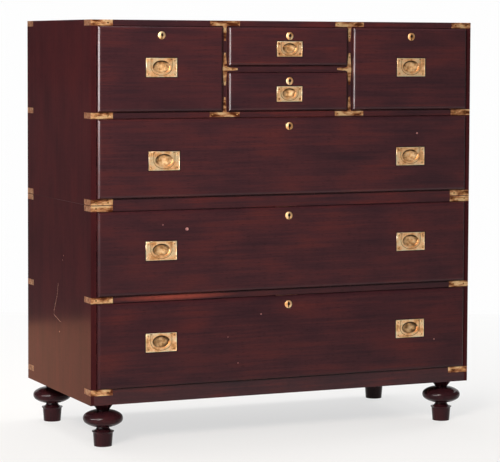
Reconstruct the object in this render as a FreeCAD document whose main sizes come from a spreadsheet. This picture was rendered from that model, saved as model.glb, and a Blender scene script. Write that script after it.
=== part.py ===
import FreeCAD, Part
import Sketcher
import os
import re

# A two-part campaign chest with seven drawers, brass straps and turned feet.
# X runs along the front, Y from front to back, and Z up from the floor. Lengths are in millimetres.

SIZES = {
    # carcass boards
    "case_width": 1016,
    "case_depth": 470,
    "board": 14,
    "partition": 13,
    "housing": 6,
    "partition_housing": 4,
    "back_board": 10,
    "back_rebate": 7,
    "back_joint": 0.6,
    "bottom_rail": 37,
    "rail_depth": 22,
    # clear height of each row of drawers, counted from the top
    "row_one": 204,
    "row_two": 190,
    "row_three": 203,
    "row_four": 205,
    # drawers
    "drawer_gap": 1,
    "drawer_proud": 10,
    "front_thickness": 22,
    "front_round": 8,
    "slide_clearance": 0.3,
    "drawer_side": 10,
    "side_drop": 8,
    "drawer_back": 10,
    "back_drop": 10,
    "drawer_bottom": 6,
    "bottom_rise": 8,
    "groove": 4,
    "rear_gap": 6,
    "tail_length": 10,
    "tail_tip": 24,
    "tail_neck": 18,
    "tail_pitch": 40,
    "stop_length": 40,
    "stop_depth": 15,
    "stop_height": 6,
    # flush handles
    "plate_width": 79,
    "plate_height": 45,
    "bowl_width": 45,
    "bowl_height": 31,
    "pivot_rise": 15,
    "small_plate_width": 68,
    "small_plate_height": 37,
    "small_bowl_width": 37,
    "small_bowl_height": 25,
    "small_pivot_rise": 12,
    "small_handle_gap": 3.2,
    "side_handle_rise": 4,
    "row_two_handle_drop": 6,
    "row_two_handle_shift": 7,
    "row_three_handle_rise": 5,
    "row_four_handle_rise": 4,
    "right_handle_shift": 3,
    "plate_thickness": 4.5,
    "bowl_depth": 11,
    "bowl_wall": 1.2,
    "bowl_rise": 1.5,
    "bowl_margin": 1,
    "bail_width": 4,
    "bail_thickness": 3.2,
    "bail_clearance": 0.3,
    "pin_radius": 1,
    "pin_length": 3,
    "pin_clearance": 0.08,
    # locks and keyholes
    "escutcheon_radius": 9.5,
    "escutcheon_seat": 2,
    "escutcheon_dome": 2.1,
    "seat_clearance": 0.1,
    "keyhole_drop": 22,
    "keyhole_radius": 2.3,
    "key_slot_width": 2.6,
    "key_slot_length": 8.2,
    "key_depth": 5,
    "lock_width": 55,
    "lock_height": 32,
    "lock_depth": 11,
    "bolt_width": 24,
    "bolt_thickness": 5,
    "bolt_length": 13,
    "bolt_throw": 7,
    # brass straps
    "strap_thickness": 1.5,
    "strap_front": 55,
    "strap_side": 45,
    "strap_back": 40,
    "strap_gap": 0.9,
    "tee_bar": 78,
    "tee_bar_width": 11,
    "tee_bar_tip": 4.5,
    "tee_root": 12.4,
    "tee_flare": 11,
    "tee_cove": 14,
    "tee_stem": 36,
    "shelf_tee_stem": 28,
    "tee_stem_width": 7.5,
    "tee_stem_tip": 4.6,
    # feet and the pegs between the two sections
    "foot_height": 105,
    "foot_inset": 48,
    "foot_base_radius": 21.5,
    "foot_waist_radius": 24,
    "foot_base_height": 32,
    "lip_radius": 26.5,
    "lip_rise": 2.5,
    "lip_edge": 1.5,
    "neck_radius": 15,
    "neck_level": 45,
    "neck_cove": 11,
    "bun_radius": 48,
    "bun_height": 39,
    "bun_level": 66.5,
    "bun_face": 47,
    "bun_edge": 13,
    "bun_knee_rise": 10.5,
    "flare_radius": 31,
    "flare_level": 87,
    "flare_cove": 60,
    "foot_peg_radius": 13,
    "foot_block": 80,
    "locating_radius": 6,
    "locating_depth": 11,
    "locating_taper": 2,
    "locating_inset": 60,
}
BACK_BOARDS = 5

doc = FreeCAD.newDocument("campaign_chest")
sheet = doc.addObject("Spreadsheet::Sheet", "Sizes")
for row, (alias, value) in enumerate(SIZES.items(), start=1):
    sheet.set(f"A{row}", alias)
    sheet.set(f"B{row}", str(value))
    sheet.setAlias(f"B{row}", alias)
doc.recompute()

# Places that many pieces share, as formulas in the sizes
SPHERE = "((escutcheon_radius^2 + escutcheon_dome^2) / (2 * escutcheon_dome))"
DOME_RIM = f"(escutcheon_dome - {SPHERE} + sqrt({SPHERE}^2 - keyhole_radius^2))"
FRONT = f"((drawer_proud + {DOME_RIM} - case_depth) / 2)"
BACK = f"({FRONT} + case_depth)"
BACK_FACE = f"({BACK} - back_board)"
FACE = f"({FRONT} - drawer_proud)"
SHOULDER = f"({FACE} + front_thickness)"
DRAWER_REAR = f"({BACK_FACE} - rear_gap)"
INSIDE = "(case_width - 2 * board)"
THIRD = f"(({INSIDE} - 2 * partition) / 3)"
LEFT_EDGE = f"(0 - {INSIDE} / 2)"
RIGHT_EDGE = f"({INSIDE} / 2)"
BASE = "foot_height"
ROW_FOUR = "(foot_height + bottom_rail)"
LOWER_BOTTOM = f"({ROW_FOUR} - board)"
LOWER_SHELF = f"({ROW_FOUR} + row_four)"
ROW_THREE = f"({LOWER_SHELF} + board)"
LOWER_TOP = f"({ROW_THREE} + row_three)"
SPLIT = f"({LOWER_TOP} + board)"
ROW_TWO = f"({SPLIT} + board)"
UPPER_SHELF = f"({ROW_TWO} + row_two)"
ROW_ONE = f"({UPPER_SHELF} + board)"
UPPER_TOP = f"({ROW_ONE} + row_one)"
SUMMIT = f"({UPPER_TOP} + board)"
SMALL_SHELF = f"({ROW_ONE} + (row_one - board) / 2)"
SMALL_ROW = f"({SMALL_SHELF} + board)"

WORD = re.compile(r"[a-z_]+")
X_AXIS = FreeCAD.Vector(1, 0, 0)
Y_AXIS = FreeCAD.Vector(0, 1, 0)
UPRIGHT = FreeCAD.Rotation(X_AXIS, 90)
ALONG_X = FreeCAD.Rotation(Y_AXIS, 90)
nodes = []


def in_cells(text):
    """Point every size named in a formula at its cell."""
    return WORD.sub(lambda word: "Sizes." * (word.group() in SIZES) + word.group(), text)


def number(text):
    """The present value of a formula."""
    return float(sheet.evalExpression(in_cells(text)))


def bind(item, **formulas):
    """Tie properties of an object to formulas."""
    for name, text in formulas.items():
        item.setExpression(name, in_cells(text))
    return item


def place(item, x, y, z, turn=None):
    """Set an object at a point given by formulas, after an optional turn."""
    if turn is not None:
        item.Placement = FreeCAD.Placement(FreeCAD.Vector(), turn)
    for axis, text in zip("xyz", (x, y, z)):
        item.setExpression(f"Placement.Base.{axis}", in_cells(text))
    return item


def block(name, x, y, z, length, width, height):
    """A rectangular piece with its least corner at x, y, z."""
    item = bind(doc.addObject("Part::Box", name), Length=length, Width=width, Height=height)
    return place(item, x, y, z)


def rod(name, radius, height, x, y, z, turn=None):
    """A round piece that starts at x, y, z and runs up, or along the turned axis."""
    item = bind(doc.addObject("Part::Cylinder", name), Radius=radius, Height=height)
    return place(item, x, y, z, turn)


def joined(name, pieces):
    """Several pieces as one solid."""
    item = doc.addObject("Part::MultiFuse", name)
    item.Shapes = pieces
    item.Refine = True
    return item


def trimmed(name, base, cutters):
    """A piece with other pieces taken out of it."""
    item = doc.addObject("Part::Cut", name)
    item.Base = base
    item.Tool = cutters[0] if len(cutters) == 1 else joined(f"{name}_cutter", cutters)
    item.Refine = True
    return item


def group(name, pieces):
    """Separate solids that share one name."""
    item = doc.addObject("Part::Compound", name)
    item.Links = pieces
    return item


def keep(item):
    """Mark an object as one named piece of the chest."""
    nodes.append(item)
    return item


def outline(body, points, arcs=None):
    """A closed outline in the upright plane, each corner tied to a pair of formulas.

    An entry of arcs gives the radius of the curve that leaves that corner: hollow, or round where a minus leads it.
    """
    rounds = {index for index, text in (arcs or {}).items() if text.startswith("-")}
    arcs = {index: text.lstrip("-") for index, text in (arcs or {}).items()}
    plane = next(item for item in body.Origin.OriginFeatures if item.Role == "XZ_Plane")
    sketch = body.newObject("Sketcher::SketchObject", f"{body.Name}_outline")
    sketch.AttachmentSupport = (plane, [""])
    sketch.MapMode = "FlatFace"
    spots = [FreeCAD.Vector(number(u), number(v), 0) for u, v in points]
    count = len(spots)
    heads = []
    tails = []
    for index, start in enumerate(spots):
        end = spots[(index + 1) % count]
        if index in arcs:
            chord = end - start
            half = chord.Length / 2
            radius = number(arcs[index])
            bulge = radius - (radius**2 - half**2) ** 0.5
            inward = FreeCAD.Vector(-chord.y, chord.x, 0).normalize()
            middle = (start + end) * 0.5 + inward * (-bulge if index in rounds else bulge)
            curve = Part.Arc(start, middle, end)
        else:
            curve = Part.LineSegment(start, end)
        piece = sketch.addGeometry(curve, False)
        first = sketch.getPoint(piece, 1)
        forward = first.distanceToPoint(start) < first.distanceToPoint(end)
        heads.append(1 if forward else 2)
        tails.append(2 if forward else 1)
    for index, (u, v) in enumerate(points):
        after = (index + 1) % count
        sketch.addConstraint(Sketcher.Constraint("Coincident", index, tails[index], after, heads[after]))
        for kind, axis, text, value in (
            ("DistanceX", -2, u, spots[index].x),
            ("DistanceY", -1, v, spots[index].y),
        ):
            if text == "0":
                sketch.addConstraint(Sketcher.Constraint("PointOnObject", index, heads[index], axis))
                continue
            at = sketch.addConstraint(Sketcher.Constraint(kind, -1, 1, index, heads[index], value))
            sketch.setExpression(f"Constraints[{at}]", in_cells(text))
    for index, text in arcs.items():
        at = sketch.addConstraint(Sketcher.Constraint("Radius", index, number(text)))
        sketch.setExpression(f"Constraints[{at}]", in_cells(text))
    return sketch


def plank(name, points, depth, arcs=None):
    """An outline made solid toward the front."""
    body = doc.addObject("PartDesign::Body", name)
    pad = body.newObject("PartDesign::Pad", f"{name}_pad")
    pad.Profile = outline(body, points, arcs)
    bind(pad, Length=depth)
    doc.recompute()
    return body


def round_off(body, radius, rounded):
    """Round the edges of a plank that a test picks."""
    pad = body.Tip
    edges = []
    for index, edge in enumerate(pad.Shape.Edges, start=1):
        ends = [corner.Point for corner in edge.Vertexes]
        if rounded(ends):
            edges.append(f"Edge{index}")
    fillet = body.newObject("PartDesign::Fillet", f"{body.Name}_round")
    fillet.Base = (pad, edges)
    bind(fillet, Radius=radius)
    return body


def corner_strap(name, side, end, level, height, capped):
    """A brass strap bent round one upright corner, flush with the boards under it."""
    reach = "strap_front" if end == "front" else "strap_back"
    outer = "(0 - case_width / 2)" if side == "left" else "(case_width / 2)"
    face_x = outer if side == "left" else f"({outer} - {reach})"
    side_x = outer if side == "left" else f"({outer} - strap_thickness)"
    face_y = FRONT if end == "front" else f"({BACK} - strap_thickness)"
    side_y = FRONT if end == "front" else f"({BACK} - strap_side)"
    legs = [
        block(f"{name}_face", face_x, face_y, level, reach, "strap_thickness", height),
        block(f"{name}_side", side_x, side_y, level, "strap_thickness", "strap_side", height),
    ]
    if capped:
        roof = f"({level} + board - strap_thickness)"
        edge_x = outer if side == "left" else f"({outer} - board)"
        edge_y = FRONT if end == "front" else f"({BACK} - board)"
        legs.append(block(f"{name}_roof", face_x, edge_y, roof, reach, "board", "strap_thickness"))
        legs.append(block(f"{name}_edge", edge_x, side_y, roof, "board", "strap_side", "strap_thickness"))
    return joined(name, legs)


def corner_straps(prefix, levels, capped):
    """One strap at every corner for each level and its height; the level named in capped is lapped over the top."""
    straps = []
    for index, (level, height) in enumerate(levels):
        for side in ("left", "right"):
            for end in ("front", "back"):
                name = f"{prefix}_{side}_{end}_{index}"
                straps.append(corner_strap(name, side, end, level, height, level == capped))
    return straps


def tee_strap(name, x, z, angle, length, tapered):
    """A flush T of brass where a partition meets another board; the stem points down before the turn.

    The stem flares in a hollow curve where it meets the bar, and both ends of a tapered bar are narrower.
    """
    bar = "(tee_bar / 2)"
    root = "(tee_root / 2)"
    stem = "(tee_stem_width / 2)"
    tip = "(tee_stem_tip / 2)"
    low = "((tee_bar_width - tee_bar_tip) / 2)" if tapered else "0"
    high = "((tee_bar_width + tee_bar_tip) / 2)" if tapered else "tee_bar_width"
    points = [
        (f"0 - {bar}", low),
        (f"0 - {root}", "0"),
        (f"0 - {stem}", "0 - tee_flare"),
        (f"0 - {tip}", f"0 - {length}"),
        (tip, f"0 - {length}"),
        (stem, "0 - tee_flare"),
        (root, "0"),
        (bar, low),
        (bar, high),
        (f"0 - {bar}", high),
    ]
    if tapered:
        points.insert(9, ("0", "tee_bar_width"))
    body = plank(name, points, "strap_thickness", {1: "tee_cove", 5: "tee_cove"})
    return place(body, x, f"{FRONT} + strap_thickness", z, FreeCAD.Rotation(Y_AXIS, angle))


def tee_straps():
    """Three straps on the front edge of each partition: at the top, the bottom and the small shelf."""
    straps = []
    lip = "((board - tee_bar_width) / 2)"
    for side, sign, angle in (("left", "0 -", -90), ("right", "0 +", 90)):
        middle = f"({sign} ({THIRD} / 2 + partition / 2))"
        beside = f"{middle} - ({sign} tee_bar_width / 2)"
        shelf = f"{SMALL_SHELF} + board / 2"
        straps.append(tee_strap(f"tee_{side}_top", middle, f"{UPPER_TOP} + {lip}", 0, "tee_stem", False))
        straps.append(tee_strap(f"tee_{side}_foot", middle, f"{UPPER_SHELF} + board - {lip}", 180, "tee_stem", False))
        straps.append(tee_strap(f"tee_{side}_middle", beside, shelf, angle, "shelf_tee_stem", True))
    return straps


def cross_board(name, level, depth):
    """A level board whose ends are let into both sides."""
    length = f"{INSIDE} + 2 * housing"
    return block(name, f"{LEFT_EDGE} - housing", FRONT, level, length, depth, "board")


def side_boards(prefix, level, height, let_in, straps):
    """The two upright sides of one section, housed for its boards and let in for its straps."""
    for side, x in (("left", "0 - case_width / 2"), ("right", "case_width / 2 - board")):
        name = f"{prefix}_side_{side}"
        blank = block(f"{name}_blank", x, FRONT, level, "board", "case_depth", height)
        housed = trimmed(f"{name}_housed", blank, let_in)
        keep(trimmed(name, housed, [straps]))


def back_boards(prefix, level, height, straps):
    """Upright back boards in the rebates of one section; returns the space that they fill."""
    start = f"({LEFT_EDGE} - back_rebate)"
    total = f"({INSIDE} + 2 * back_rebate)"
    boards = []
    for index in range(BACK_BOARDS):
        near = "back_joint / 2" if index else "0"
        far = "back_joint / 2" if index < BACK_BOARDS - 1 else "0"
        x = f"{start} + {index} * {total} / {BACK_BOARDS} + {near}"
        width = f"{total} / {BACK_BOARDS} - {near} - {far}"
        name = f"{prefix}_back_{index}"
        blank = block(f"{name}_blank", x, BACK_FACE, level, width, "back_board", height)
        boards.append(trimmed(name, blank, [straps]))
    keep(group(f"{prefix}_back_boards", boards))
    return block(f"{prefix}_back_space", start, BACK_FACE, level, total, "back_board", height)


def oval(name, half_width, half_height, low, depth):
    """An oval disc about the middle of a bowl, between two depths under the face of its plate."""
    curve = doc.addObject("Part::Ellipse", f"{name}_curve")
    bind(curve, MajorRadius=half_width, MinorRadius=half_height)
    place(curve, "0", "bowl_rise", low)
    disc = doc.addObject("Part::Extrusion", name)
    disc.Base = curve
    disc.DirMode = "Custom"
    disc.Dir = FreeCAD.Vector(0, 0, 1)
    disc.Solid = True
    return bind(disc, LengthFwd=depth)


def lower_half(name, disc, low, depth):
    """The half of an oval disc that lies under the middle of the bowl."""
    half = doc.addObject("Part::Common", name)
    half.Base = disc
    half.Tool = block(f"{name}_side", "0 - 100", "bowl_rise - 100", low, "200", "100", depth)
    return half


def ball(name, half_width, half_height, depth, upper):
    """The bowl of a handle plate as an oval solid, whole or cut off level with the face."""
    item = doc.addObject("Part::Ellipsoid", name)
    item.Angle1 = -90
    item.Angle2 = upper
    bind(item, Radius1=depth, Radius2=half_width, Radius3=half_height)
    return place(item, "0", "bowl_rise", "0")


def handle_plate(name, size, x, z):
    """A flush plate with a hollow bowl, a ledge for the bail and two blind holes for its pins."""
    wide, tall, across, upright, rise = size
    bowl_x = f"({across} / 2)"
    bowl_z = f"({upright} / 2)"
    floor = "(bail_thickness + 2 * bail_clearance)"
    pivot = f"bowl_rise + {rise}"
    sheet_part = block(
        f"{name}_sheet", f"0 - {wide} / 2", f"0 - {tall} / 2", "0 - plate_thickness", wide, tall, "plate_thickness"
    )
    cup = ball(
        f"{name}_cup", f"{bowl_x} + bowl_wall", f"{bowl_z} + bowl_wall", "bowl_depth + bowl_wall", 0
    )
    low = f"0 - {floor}"
    deep = f"{floor} + 1"
    rim_x = f"({bowl_x} + bail_width + bail_clearance)"
    rim_z = f"({bowl_z} + bail_width + bail_clearance)"
    ledge = lower_half(f"{name}_ledge", oval(f"{name}_rim", rim_x, rim_z, low, deep), low, deep)
    cutters = [ball(f"{name}_hollow", bowl_x, bowl_z, "bowl_depth", 90), ledge]
    slot = "bail_width + 2 * bail_clearance"
    run = f"{rise} + bail_thickness / 2 + bail_clearance"
    hole = "pin_length + 2 * bail_clearance"
    axis = "0 - bail_clearance - bail_thickness / 2"
    for side, slot_x, hole_x in (
        ("left", f"0 - {rim_x}", f"0 - {bowl_x} - bail_width - ({hole})"),
        ("right", f"{bowl_x} - bail_clearance", f"{bowl_x} + bail_width"),
    ):
        cutters.append(block(f"{name}_slot_{side}", slot_x, "bowl_rise", low, slot, run, deep))
        radius = "pin_radius + pin_clearance"
        cutters.append(rod(f"{name}_hole_{side}", radius, hole, hole_x, pivot, axis, ALONG_X))
    plate = trimmed(name, joined(f"{name}_solid", [sheet_part, cup]), cutters)
    return place(plate, x, FACE, z, UPRIGHT)


def bail(name, size, x, z):
    """The swinging half-oval grip of one handle, with a round knuckle and a pin at each end."""
    across, upright, rise = size[2:]
    bowl_x = f"({across} / 2)"
    bowl_z = f"({upright} / 2)"
    low = "0 - bail_clearance - bail_thickness"
    axis = "0 - bail_clearance - bail_thickness / 2"
    pivot = f"bowl_rise + {rise}"
    outer = oval(f"{name}_outer", f"{bowl_x} + bail_width", f"{bowl_z} + bail_width", low, "bail_thickness")
    inner = oval(f"{name}_inner", bowl_x, bowl_z, low, "bail_thickness")
    ring = trimmed(f"{name}_ring", outer, [inner])
    pieces = [lower_half(f"{name}_bow", ring, low, "bail_thickness")]
    for side, leg_x, pin_x in (
        ("left", f"0 - {bowl_x} - bail_width", f"0 - {bowl_x} - bail_width - pin_length"),
        ("right", bowl_x, f"{bowl_x} + bail_width"),
    ):
        legs = block(f"{name}_leg_{side}", leg_x, "bowl_rise", low, "bail_width", rise, "bail_thickness")
        knuckle = rod(
            f"{name}_knuckle_{side}", "bail_thickness / 2", "bail_width", leg_x, pivot, axis, ALONG_X
        )
        pin = rod(f"{name}_pin_{side}", "pin_radius", "pin_length", pin_x, pivot, axis, ALONG_X)
        pieces += [legs, knuckle, pin]
    return place(joined(name, pieces), x, FACE, z, UPRIGHT)


LARGE = ("plate_width", "plate_height", "bowl_width", "bowl_height", "pivot_rise")
SMALL = (
    "small_plate_width", "small_plate_height", "small_bowl_width", "small_bowl_height", "small_pivot_rise",
)


def bolt_space(name, left, right, high):
    """The mortise in the board over a drawer that its lock bolt rises into."""
    middle = f"(({left} + {right}) / 2)"
    return block(
        f"{name}_bolt_mortise",
        f"{middle} - bolt_width / 2 - slide_clearance",
        f"{SHOULDER} - lock_depth / 2 - bolt_thickness / 2 - slide_clearance",
        high,
        "bolt_width + 2 * slide_clearance",
        "bolt_thickness + 2 * slide_clearance",
        "bolt_throw + slide_clearance",
    )


def drawer_stops(name, left, right, low):
    """Two small blocks on the board under a drawer that its front closes against."""
    quarter = f"(({right} - {left}) / 4)"
    stops = []
    for side, middle in (("left", f"{left} + {quarter}"), ("right", f"{right} - {quarter}")):
        stops.append(
            block(
                f"{name}_stop_{side}", f"{middle} - stop_length / 2", f"{SHOULDER} + slide_clearance",
                low, "stop_length", "stop_depth", "stop_height",
            )
        )
    return stops


def drawer_box(name, left, right, low, high):
    """Two dovetailed sides, a back and a bottom; returns the cutters that shape the front to them."""
    start = f"({left} + drawer_gap)"
    width = f"({right} - {left} - 2 * drawer_gap)"
    sill = f"({low} + slide_clearance)"
    height = f"({high} - {sill} - drawer_gap - side_drop)"
    depth = f"({DRAWER_REAR} - {SHOULDER})"
    inner_x = f"{start} + drawer_side - groove"
    inner = f"{width} - 2 * drawer_side + 2 * groove"
    bottom = block(
        f"{name}_bottom", inner_x, f"{SHOULDER} - groove", f"{sill} + bottom_rise",
        inner, f"{depth} + groove", "drawer_bottom",
    )
    back = block(
        f"{name}_back", inner_x, f"{DRAWER_REAR} - drawer_back", f"{sill} + bottom_rise + drawer_bottom",
        inner, "drawer_back", f"{height} - bottom_rise - drawer_bottom - back_drop",
    )
    count = max(2, int(number(height) // number("tail_pitch")))
    pieces = [back, bottom]
    cutters = [bottom]
    for side, x in (("left", start), ("right", f"({right} - drawer_gap - drawer_side)")):
        blank = block(f"{name}_{side}_blank", x, SHOULDER, sill, "drawer_side", depth, height)
        dovetails = []
        for index in range(count):
            tail = doc.addObject("Part::Wedge", f"{name}_{side}_tail_{index}")
            bind(tail, Xmin="0", Xmax="drawer_side", X2min="0", X2max="drawer_side")
            bind(tail, Ymin="0", Ymax="tail_length", Zmin="0 - tail_tip / 2", Zmax="tail_tip / 2")
            bind(tail, Z2min="0 - tail_neck / 2", Z2max="tail_neck / 2")
            share = f"{height} * {2 * index + 1} / {2 * count}"
            dovetails.append(place(tail, x, f"{SHOULDER} - tail_length", f"{sill} + {share}"))
        cutters += dovetails
        solid = joined(f"{name}_{side}_solid", [blank, *dovetails])
        pieces.append(trimmed(f"{name}_{side}", solid, [bottom, back]))
    keep(group(f"{name}_box", pieces))
    return cutters


def drawer(name, left, right, low, high, size, handles, rise):
    """One drawer in the opening between left and right, low and high.

    Each entry of handles is the name of a handle, and the place of its middle along X.
    """
    cutters = drawer_box(name, left, right, low, high)
    middle = f"(({left} + {right}) / 2)"
    crown = f"({high} - drawer_gap)"
    key_z = f"({high} - keyhole_drop)"
    # lock, its bolt and the keyhole that runs through to it
    lock_blank = block(
        f"{name}_lock_blank", f"{middle} - lock_width / 2", f"{SHOULDER} - lock_depth",
        f"{crown} - lock_height", "lock_width", "lock_depth", "lock_height",
    )
    bolt_y = f"({SHOULDER} - lock_depth / 2 - bolt_thickness / 2)"
    slot = block(
        f"{name}_bolt_slot", f"{middle} - bolt_width / 2 - slide_clearance", f"{bolt_y} - slide_clearance",
        f"{crown} - bolt_length", "bolt_width + 2 * slide_clearance",
        "bolt_thickness + 2 * slide_clearance", "bolt_length",
    )
    keep(
        block(
            f"{name}_lock_bolt", f"{middle} - bolt_width / 2", bolt_y,
            f"{crown} - bolt_length + slide_clearance",
            "bolt_width", "bolt_thickness", "bolt_length - slide_clearance",
        )
    )
    key_start = f"({SHOULDER} - lock_depth + key_depth)"
    key_run = f"{key_start} - {FACE} + 2 * escutcheon_dome"
    key_round = rod(f"{name}_key_round", "keyhole_radius", key_run, middle, key_start, key_z, UPRIGHT)
    key_slot = block(
        f"{name}_key_slot", f"{middle} - key_slot_width / 2", f"{FACE} - 2 * escutcheon_dome",
        f"{key_z} - key_slot_length", "key_slot_width", key_run, "key_slot_length",
    )
    keyhole = joined(f"{name}_keyhole", [key_round, key_slot])
    lock = trimmed(f"{name}_lock", lock_blank, [slot, keyhole])
    # domed escutcheon
    dome = doc.addObject("Part::Sphere", f"{name}_dome")
    bind(dome, Radius=SPHERE, Angle1=f"asin(({SPHERE} - escutcheon_dome) / {SPHERE})")
    place(dome, middle, f"{FACE} - escutcheon_dome + {SPHERE}", key_z, UPRIGHT)
    seat = rod(
        f"{name}_seat", "escutcheon_radius", "escutcheon_seat", middle,
        f"{FACE} + escutcheon_seat", key_z, UPRIGHT,
    )
    escutcheon = trimmed(f"{name}_escutcheon", joined(f"{name}_disc", [dome, seat]), [keyhole])
    seat_space = rod(
        f"{name}_seat_space", "escutcheon_radius + seat_clearance", "escutcheon_seat", middle,
        f"{FACE} + escutcheon_seat", key_z, UPRIGHT,
    )
    cutters += [lock_blank, keyhole, seat_space]
    # flush handles
    wide, tall, across, upright, _ = size
    handle_z = f"(({low} + {high}) / 2 + {rise})"
    if size is SMALL:
        handle_z = f"({key_z} - escutcheon_radius - small_handle_gap - {tall} / 2)"
    brasses = [escutcheon, lock]
    for handle, x in handles:
        brasses.append(handle_plate(f"{handle}_plate", size, x, handle_z))
        keep(bail(handle, size, x, handle_z))
        cutters.append(
            block(
                f"{handle}_recess", f"{x} - {wide} / 2", FACE, f"{handle_z} - {tall} / 2",
                wide, "plate_thickness", tall,
            )
        )
        edge = "(bowl_wall + bowl_margin)"
        cutters.append(
            block(
                f"{handle}_mortise", f"{x} - {across} / 2 - {edge}", FACE,
                f"{handle_z} + bowl_rise - {upright} / 2 - {edge}",
                f"{across} + 2 * {edge}", f"bowl_depth + {edge}", f"{upright} + 2 * {edge}",
            )
        )
    keep(group(f"{name}_brasses", brasses))
    # rounded front, shaped last to everything let into it
    points = [
        (f"{left} + drawer_gap", f"{low} + drawer_gap"),
        (f"{right} - drawer_gap", f"{low} + drawer_gap"),
        (f"{right} - drawer_gap", crown),
        (f"{left} + drawer_gap", crown),
    ]
    shown = -number("front_thickness")

    def on_the_face(ends):
        return all(abs(end.y - shown) < 1e-6 for end in ends)

    blank = round_off(plank(f"{name}_blank", points, "front_thickness"), "front_round", on_the_face)
    place(blank, "0", SHOULDER, "0")
    keep(trimmed(f"{name}_front", blank, cutters))


def foot(name, x, y):
    """A turned foot with a bun, a lipped base, a flared neck and a peg at the top."""
    body = doc.addObject("PartDesign::Body", name)
    lip = "foot_base_height + lip_rise"
    crown = "foot_height + bottom_rail - board - slide_clearance"
    knee = "bun_radius - bun_edge + sqrt(bun_edge ^ 2 - bun_knee_rise ^ 2)"
    points = [
        ("0", "0"),
        ("foot_base_radius", "0"),
        ("foot_waist_radius", "foot_base_height"),
        ("lip_radius", lip),
        ("lip_radius", f"{lip} + lip_edge"),
        ("neck_radius", "neck_level"),
        ("neck_radius", "bun_level - bun_height / 2"),
        (knee, "bun_level - bun_knee_rise"),
        (knee, "bun_level + bun_knee_rise"),
        ("neck_radius", "bun_level + bun_height / 2"),
        ("neck_radius", "flare_level"),
        ("flare_radius", "foot_height"),
        ("foot_peg_radius", "foot_height"),
        ("foot_peg_radius", crown),
        ("0", crown),
    ]
    turned = body.newObject("PartDesign::Revolution", f"{name}_turned")
    curves = {4: "neck_cove", 6: "-bun_face", 7: "-bun_edge", 8: "-bun_face", 10: "flare_cove"}
    turned.Profile = outline(body, points, curves)
    turned.ReferenceAxis = (turned.Profile[0], ["V_Axis"])
    turned.Angle = 360
    return place(body, x, y, "0")


# Straps come first, because the boards are let in for them
NARROW = "(board - strap_gap)"
upper_levels = [(f"({SPLIT} + strap_gap)", NARROW), (UPPER_SHELF, "board"), (UPPER_TOP, "board")]
lower_levels = [(LOWER_BOTTOM, "board"), (LOWER_SHELF, "board"), (LOWER_TOP, NARROW)]
upper_straps = keep(
    group("upper_straps", corner_straps("upper_strap", upper_levels, UPPER_TOP) + tee_straps())
)
lower_straps = keep(group("lower_straps", corner_straps("lower_strap", lower_levels, None)))

# Openings for the drawers
LEFT_PART = f"({LEFT_EDGE} + {THIRD})"
RIGHT_PART = f"({RIGHT_EDGE} - {THIRD} - partition)"
LEFT_X = f"({LEFT_EDGE} + {THIRD} / 2)"
RIGHT_X = f"({RIGHT_EDGE} - {THIRD} / 2)"
SMALL_LEFT = f"({LEFT_PART} + partition)"
OPENINGS = {
    "left_drawer": (LEFT_EDGE, LEFT_PART, ROW_ONE, UPPER_TOP),
    "upper_small_drawer": (SMALL_LEFT, RIGHT_PART, SMALL_ROW, UPPER_TOP),
    "lower_small_drawer": (SMALL_LEFT, RIGHT_PART, ROW_ONE, SMALL_SHELF),
    "right_drawer": (f"({RIGHT_PART} + partition)", RIGHT_EDGE, ROW_ONE, UPPER_TOP),
    "upper_long_drawer": (LEFT_EDGE, RIGHT_EDGE, ROW_TWO, UPPER_SHELF),
    "middle_long_drawer": (LEFT_EDGE, RIGHT_EDGE, ROW_THREE, LOWER_TOP),
    "bottom_long_drawer": (LEFT_EDGE, RIGHT_EDGE, ROW_FOUR, LOWER_SHELF),
}
mortises = {}
stops = {}
for title, (left, right, low, high) in OPENINGS.items():
    mortises[title] = bolt_space(title, left, right, high)
    stops[title] = drawer_stops(title, left, right, low)

# Pegs that hold the upper section on the lower one
pegs = []
peg_holes = []
peg_seats = []
for side, x in (("left", "locating_inset - case_width / 2"), ("right", "case_width / 2 - locating_inset")):
    for end, y in (("front", f"{FRONT} + locating_inset"), ("back", f"{BACK} - locating_inset")):
        name = f"peg_{side}_{end}"
        start = f"{SPLIT} - locating_depth"
        run = "2 * locating_depth - locating_taper"
        shank = rod(f"{name}_shank", "locating_radius", run, x, y, start)
        tip = bind(
            doc.addObject("Part::Cone", f"{name}_tip"),
            Radius1="locating_radius",
            Radius2="locating_radius - locating_taper",
            Height="locating_taper",
        )
        place(tip, x, y, f"{SPLIT} + locating_depth - locating_taper")
        pegs.append(joined(name, [shank, tip]))
        loose = "locating_radius + slide_clearance"
        deep = "locating_depth + slide_clearance"
        peg_holes.append(rod(f"{name}_hole", loose, deep, x, y, SPLIT))
        snug = "locating_radius + seat_clearance"
        peg_seats.append(rod(f"{name}_seat", snug, "locating_depth", x, y, start))
keep(group("locating_pegs", pegs))

# Upper section
SHELF_DEPTH = "case_depth - back_board"
top_blank = cross_board("upper_top_blank", UPPER_TOP, "case_depth")
shelf_blank = cross_board("upper_shelf_blank", UPPER_SHELF, SHELF_DEPTH)
bottom_blank = cross_board("upper_bottom_blank", SPLIT, SHELF_DEPTH)
small_blank = block(
    "small_shelf_blank", f"{SMALL_LEFT} - partition_housing", FRONT, SMALL_SHELF,
    f"{THIRD} + 2 * partition_housing", SHELF_DEPTH, "board",
)
partition_blanks = []
partitions = []
for side, x in (("left", LEFT_PART), ("right", RIGHT_PART)):
    blank = block(
        f"partition_{side}_blank", x, FRONT, f"{ROW_ONE} - partition_housing",
        "partition", SHELF_DEPTH, "row_one + 2 * partition_housing",
    )
    partition_blanks.append(blank)
    slotted = trimmed(f"partition_{side}_slotted", blank, [small_blank])
    partitions.append(trimmed(f"partition_{side}", slotted, [upper_straps]))
keep(group("partitions", partitions))
over = [mortises[title] for title in ("left_drawer", "upper_small_drawer", "right_drawer")]
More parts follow.
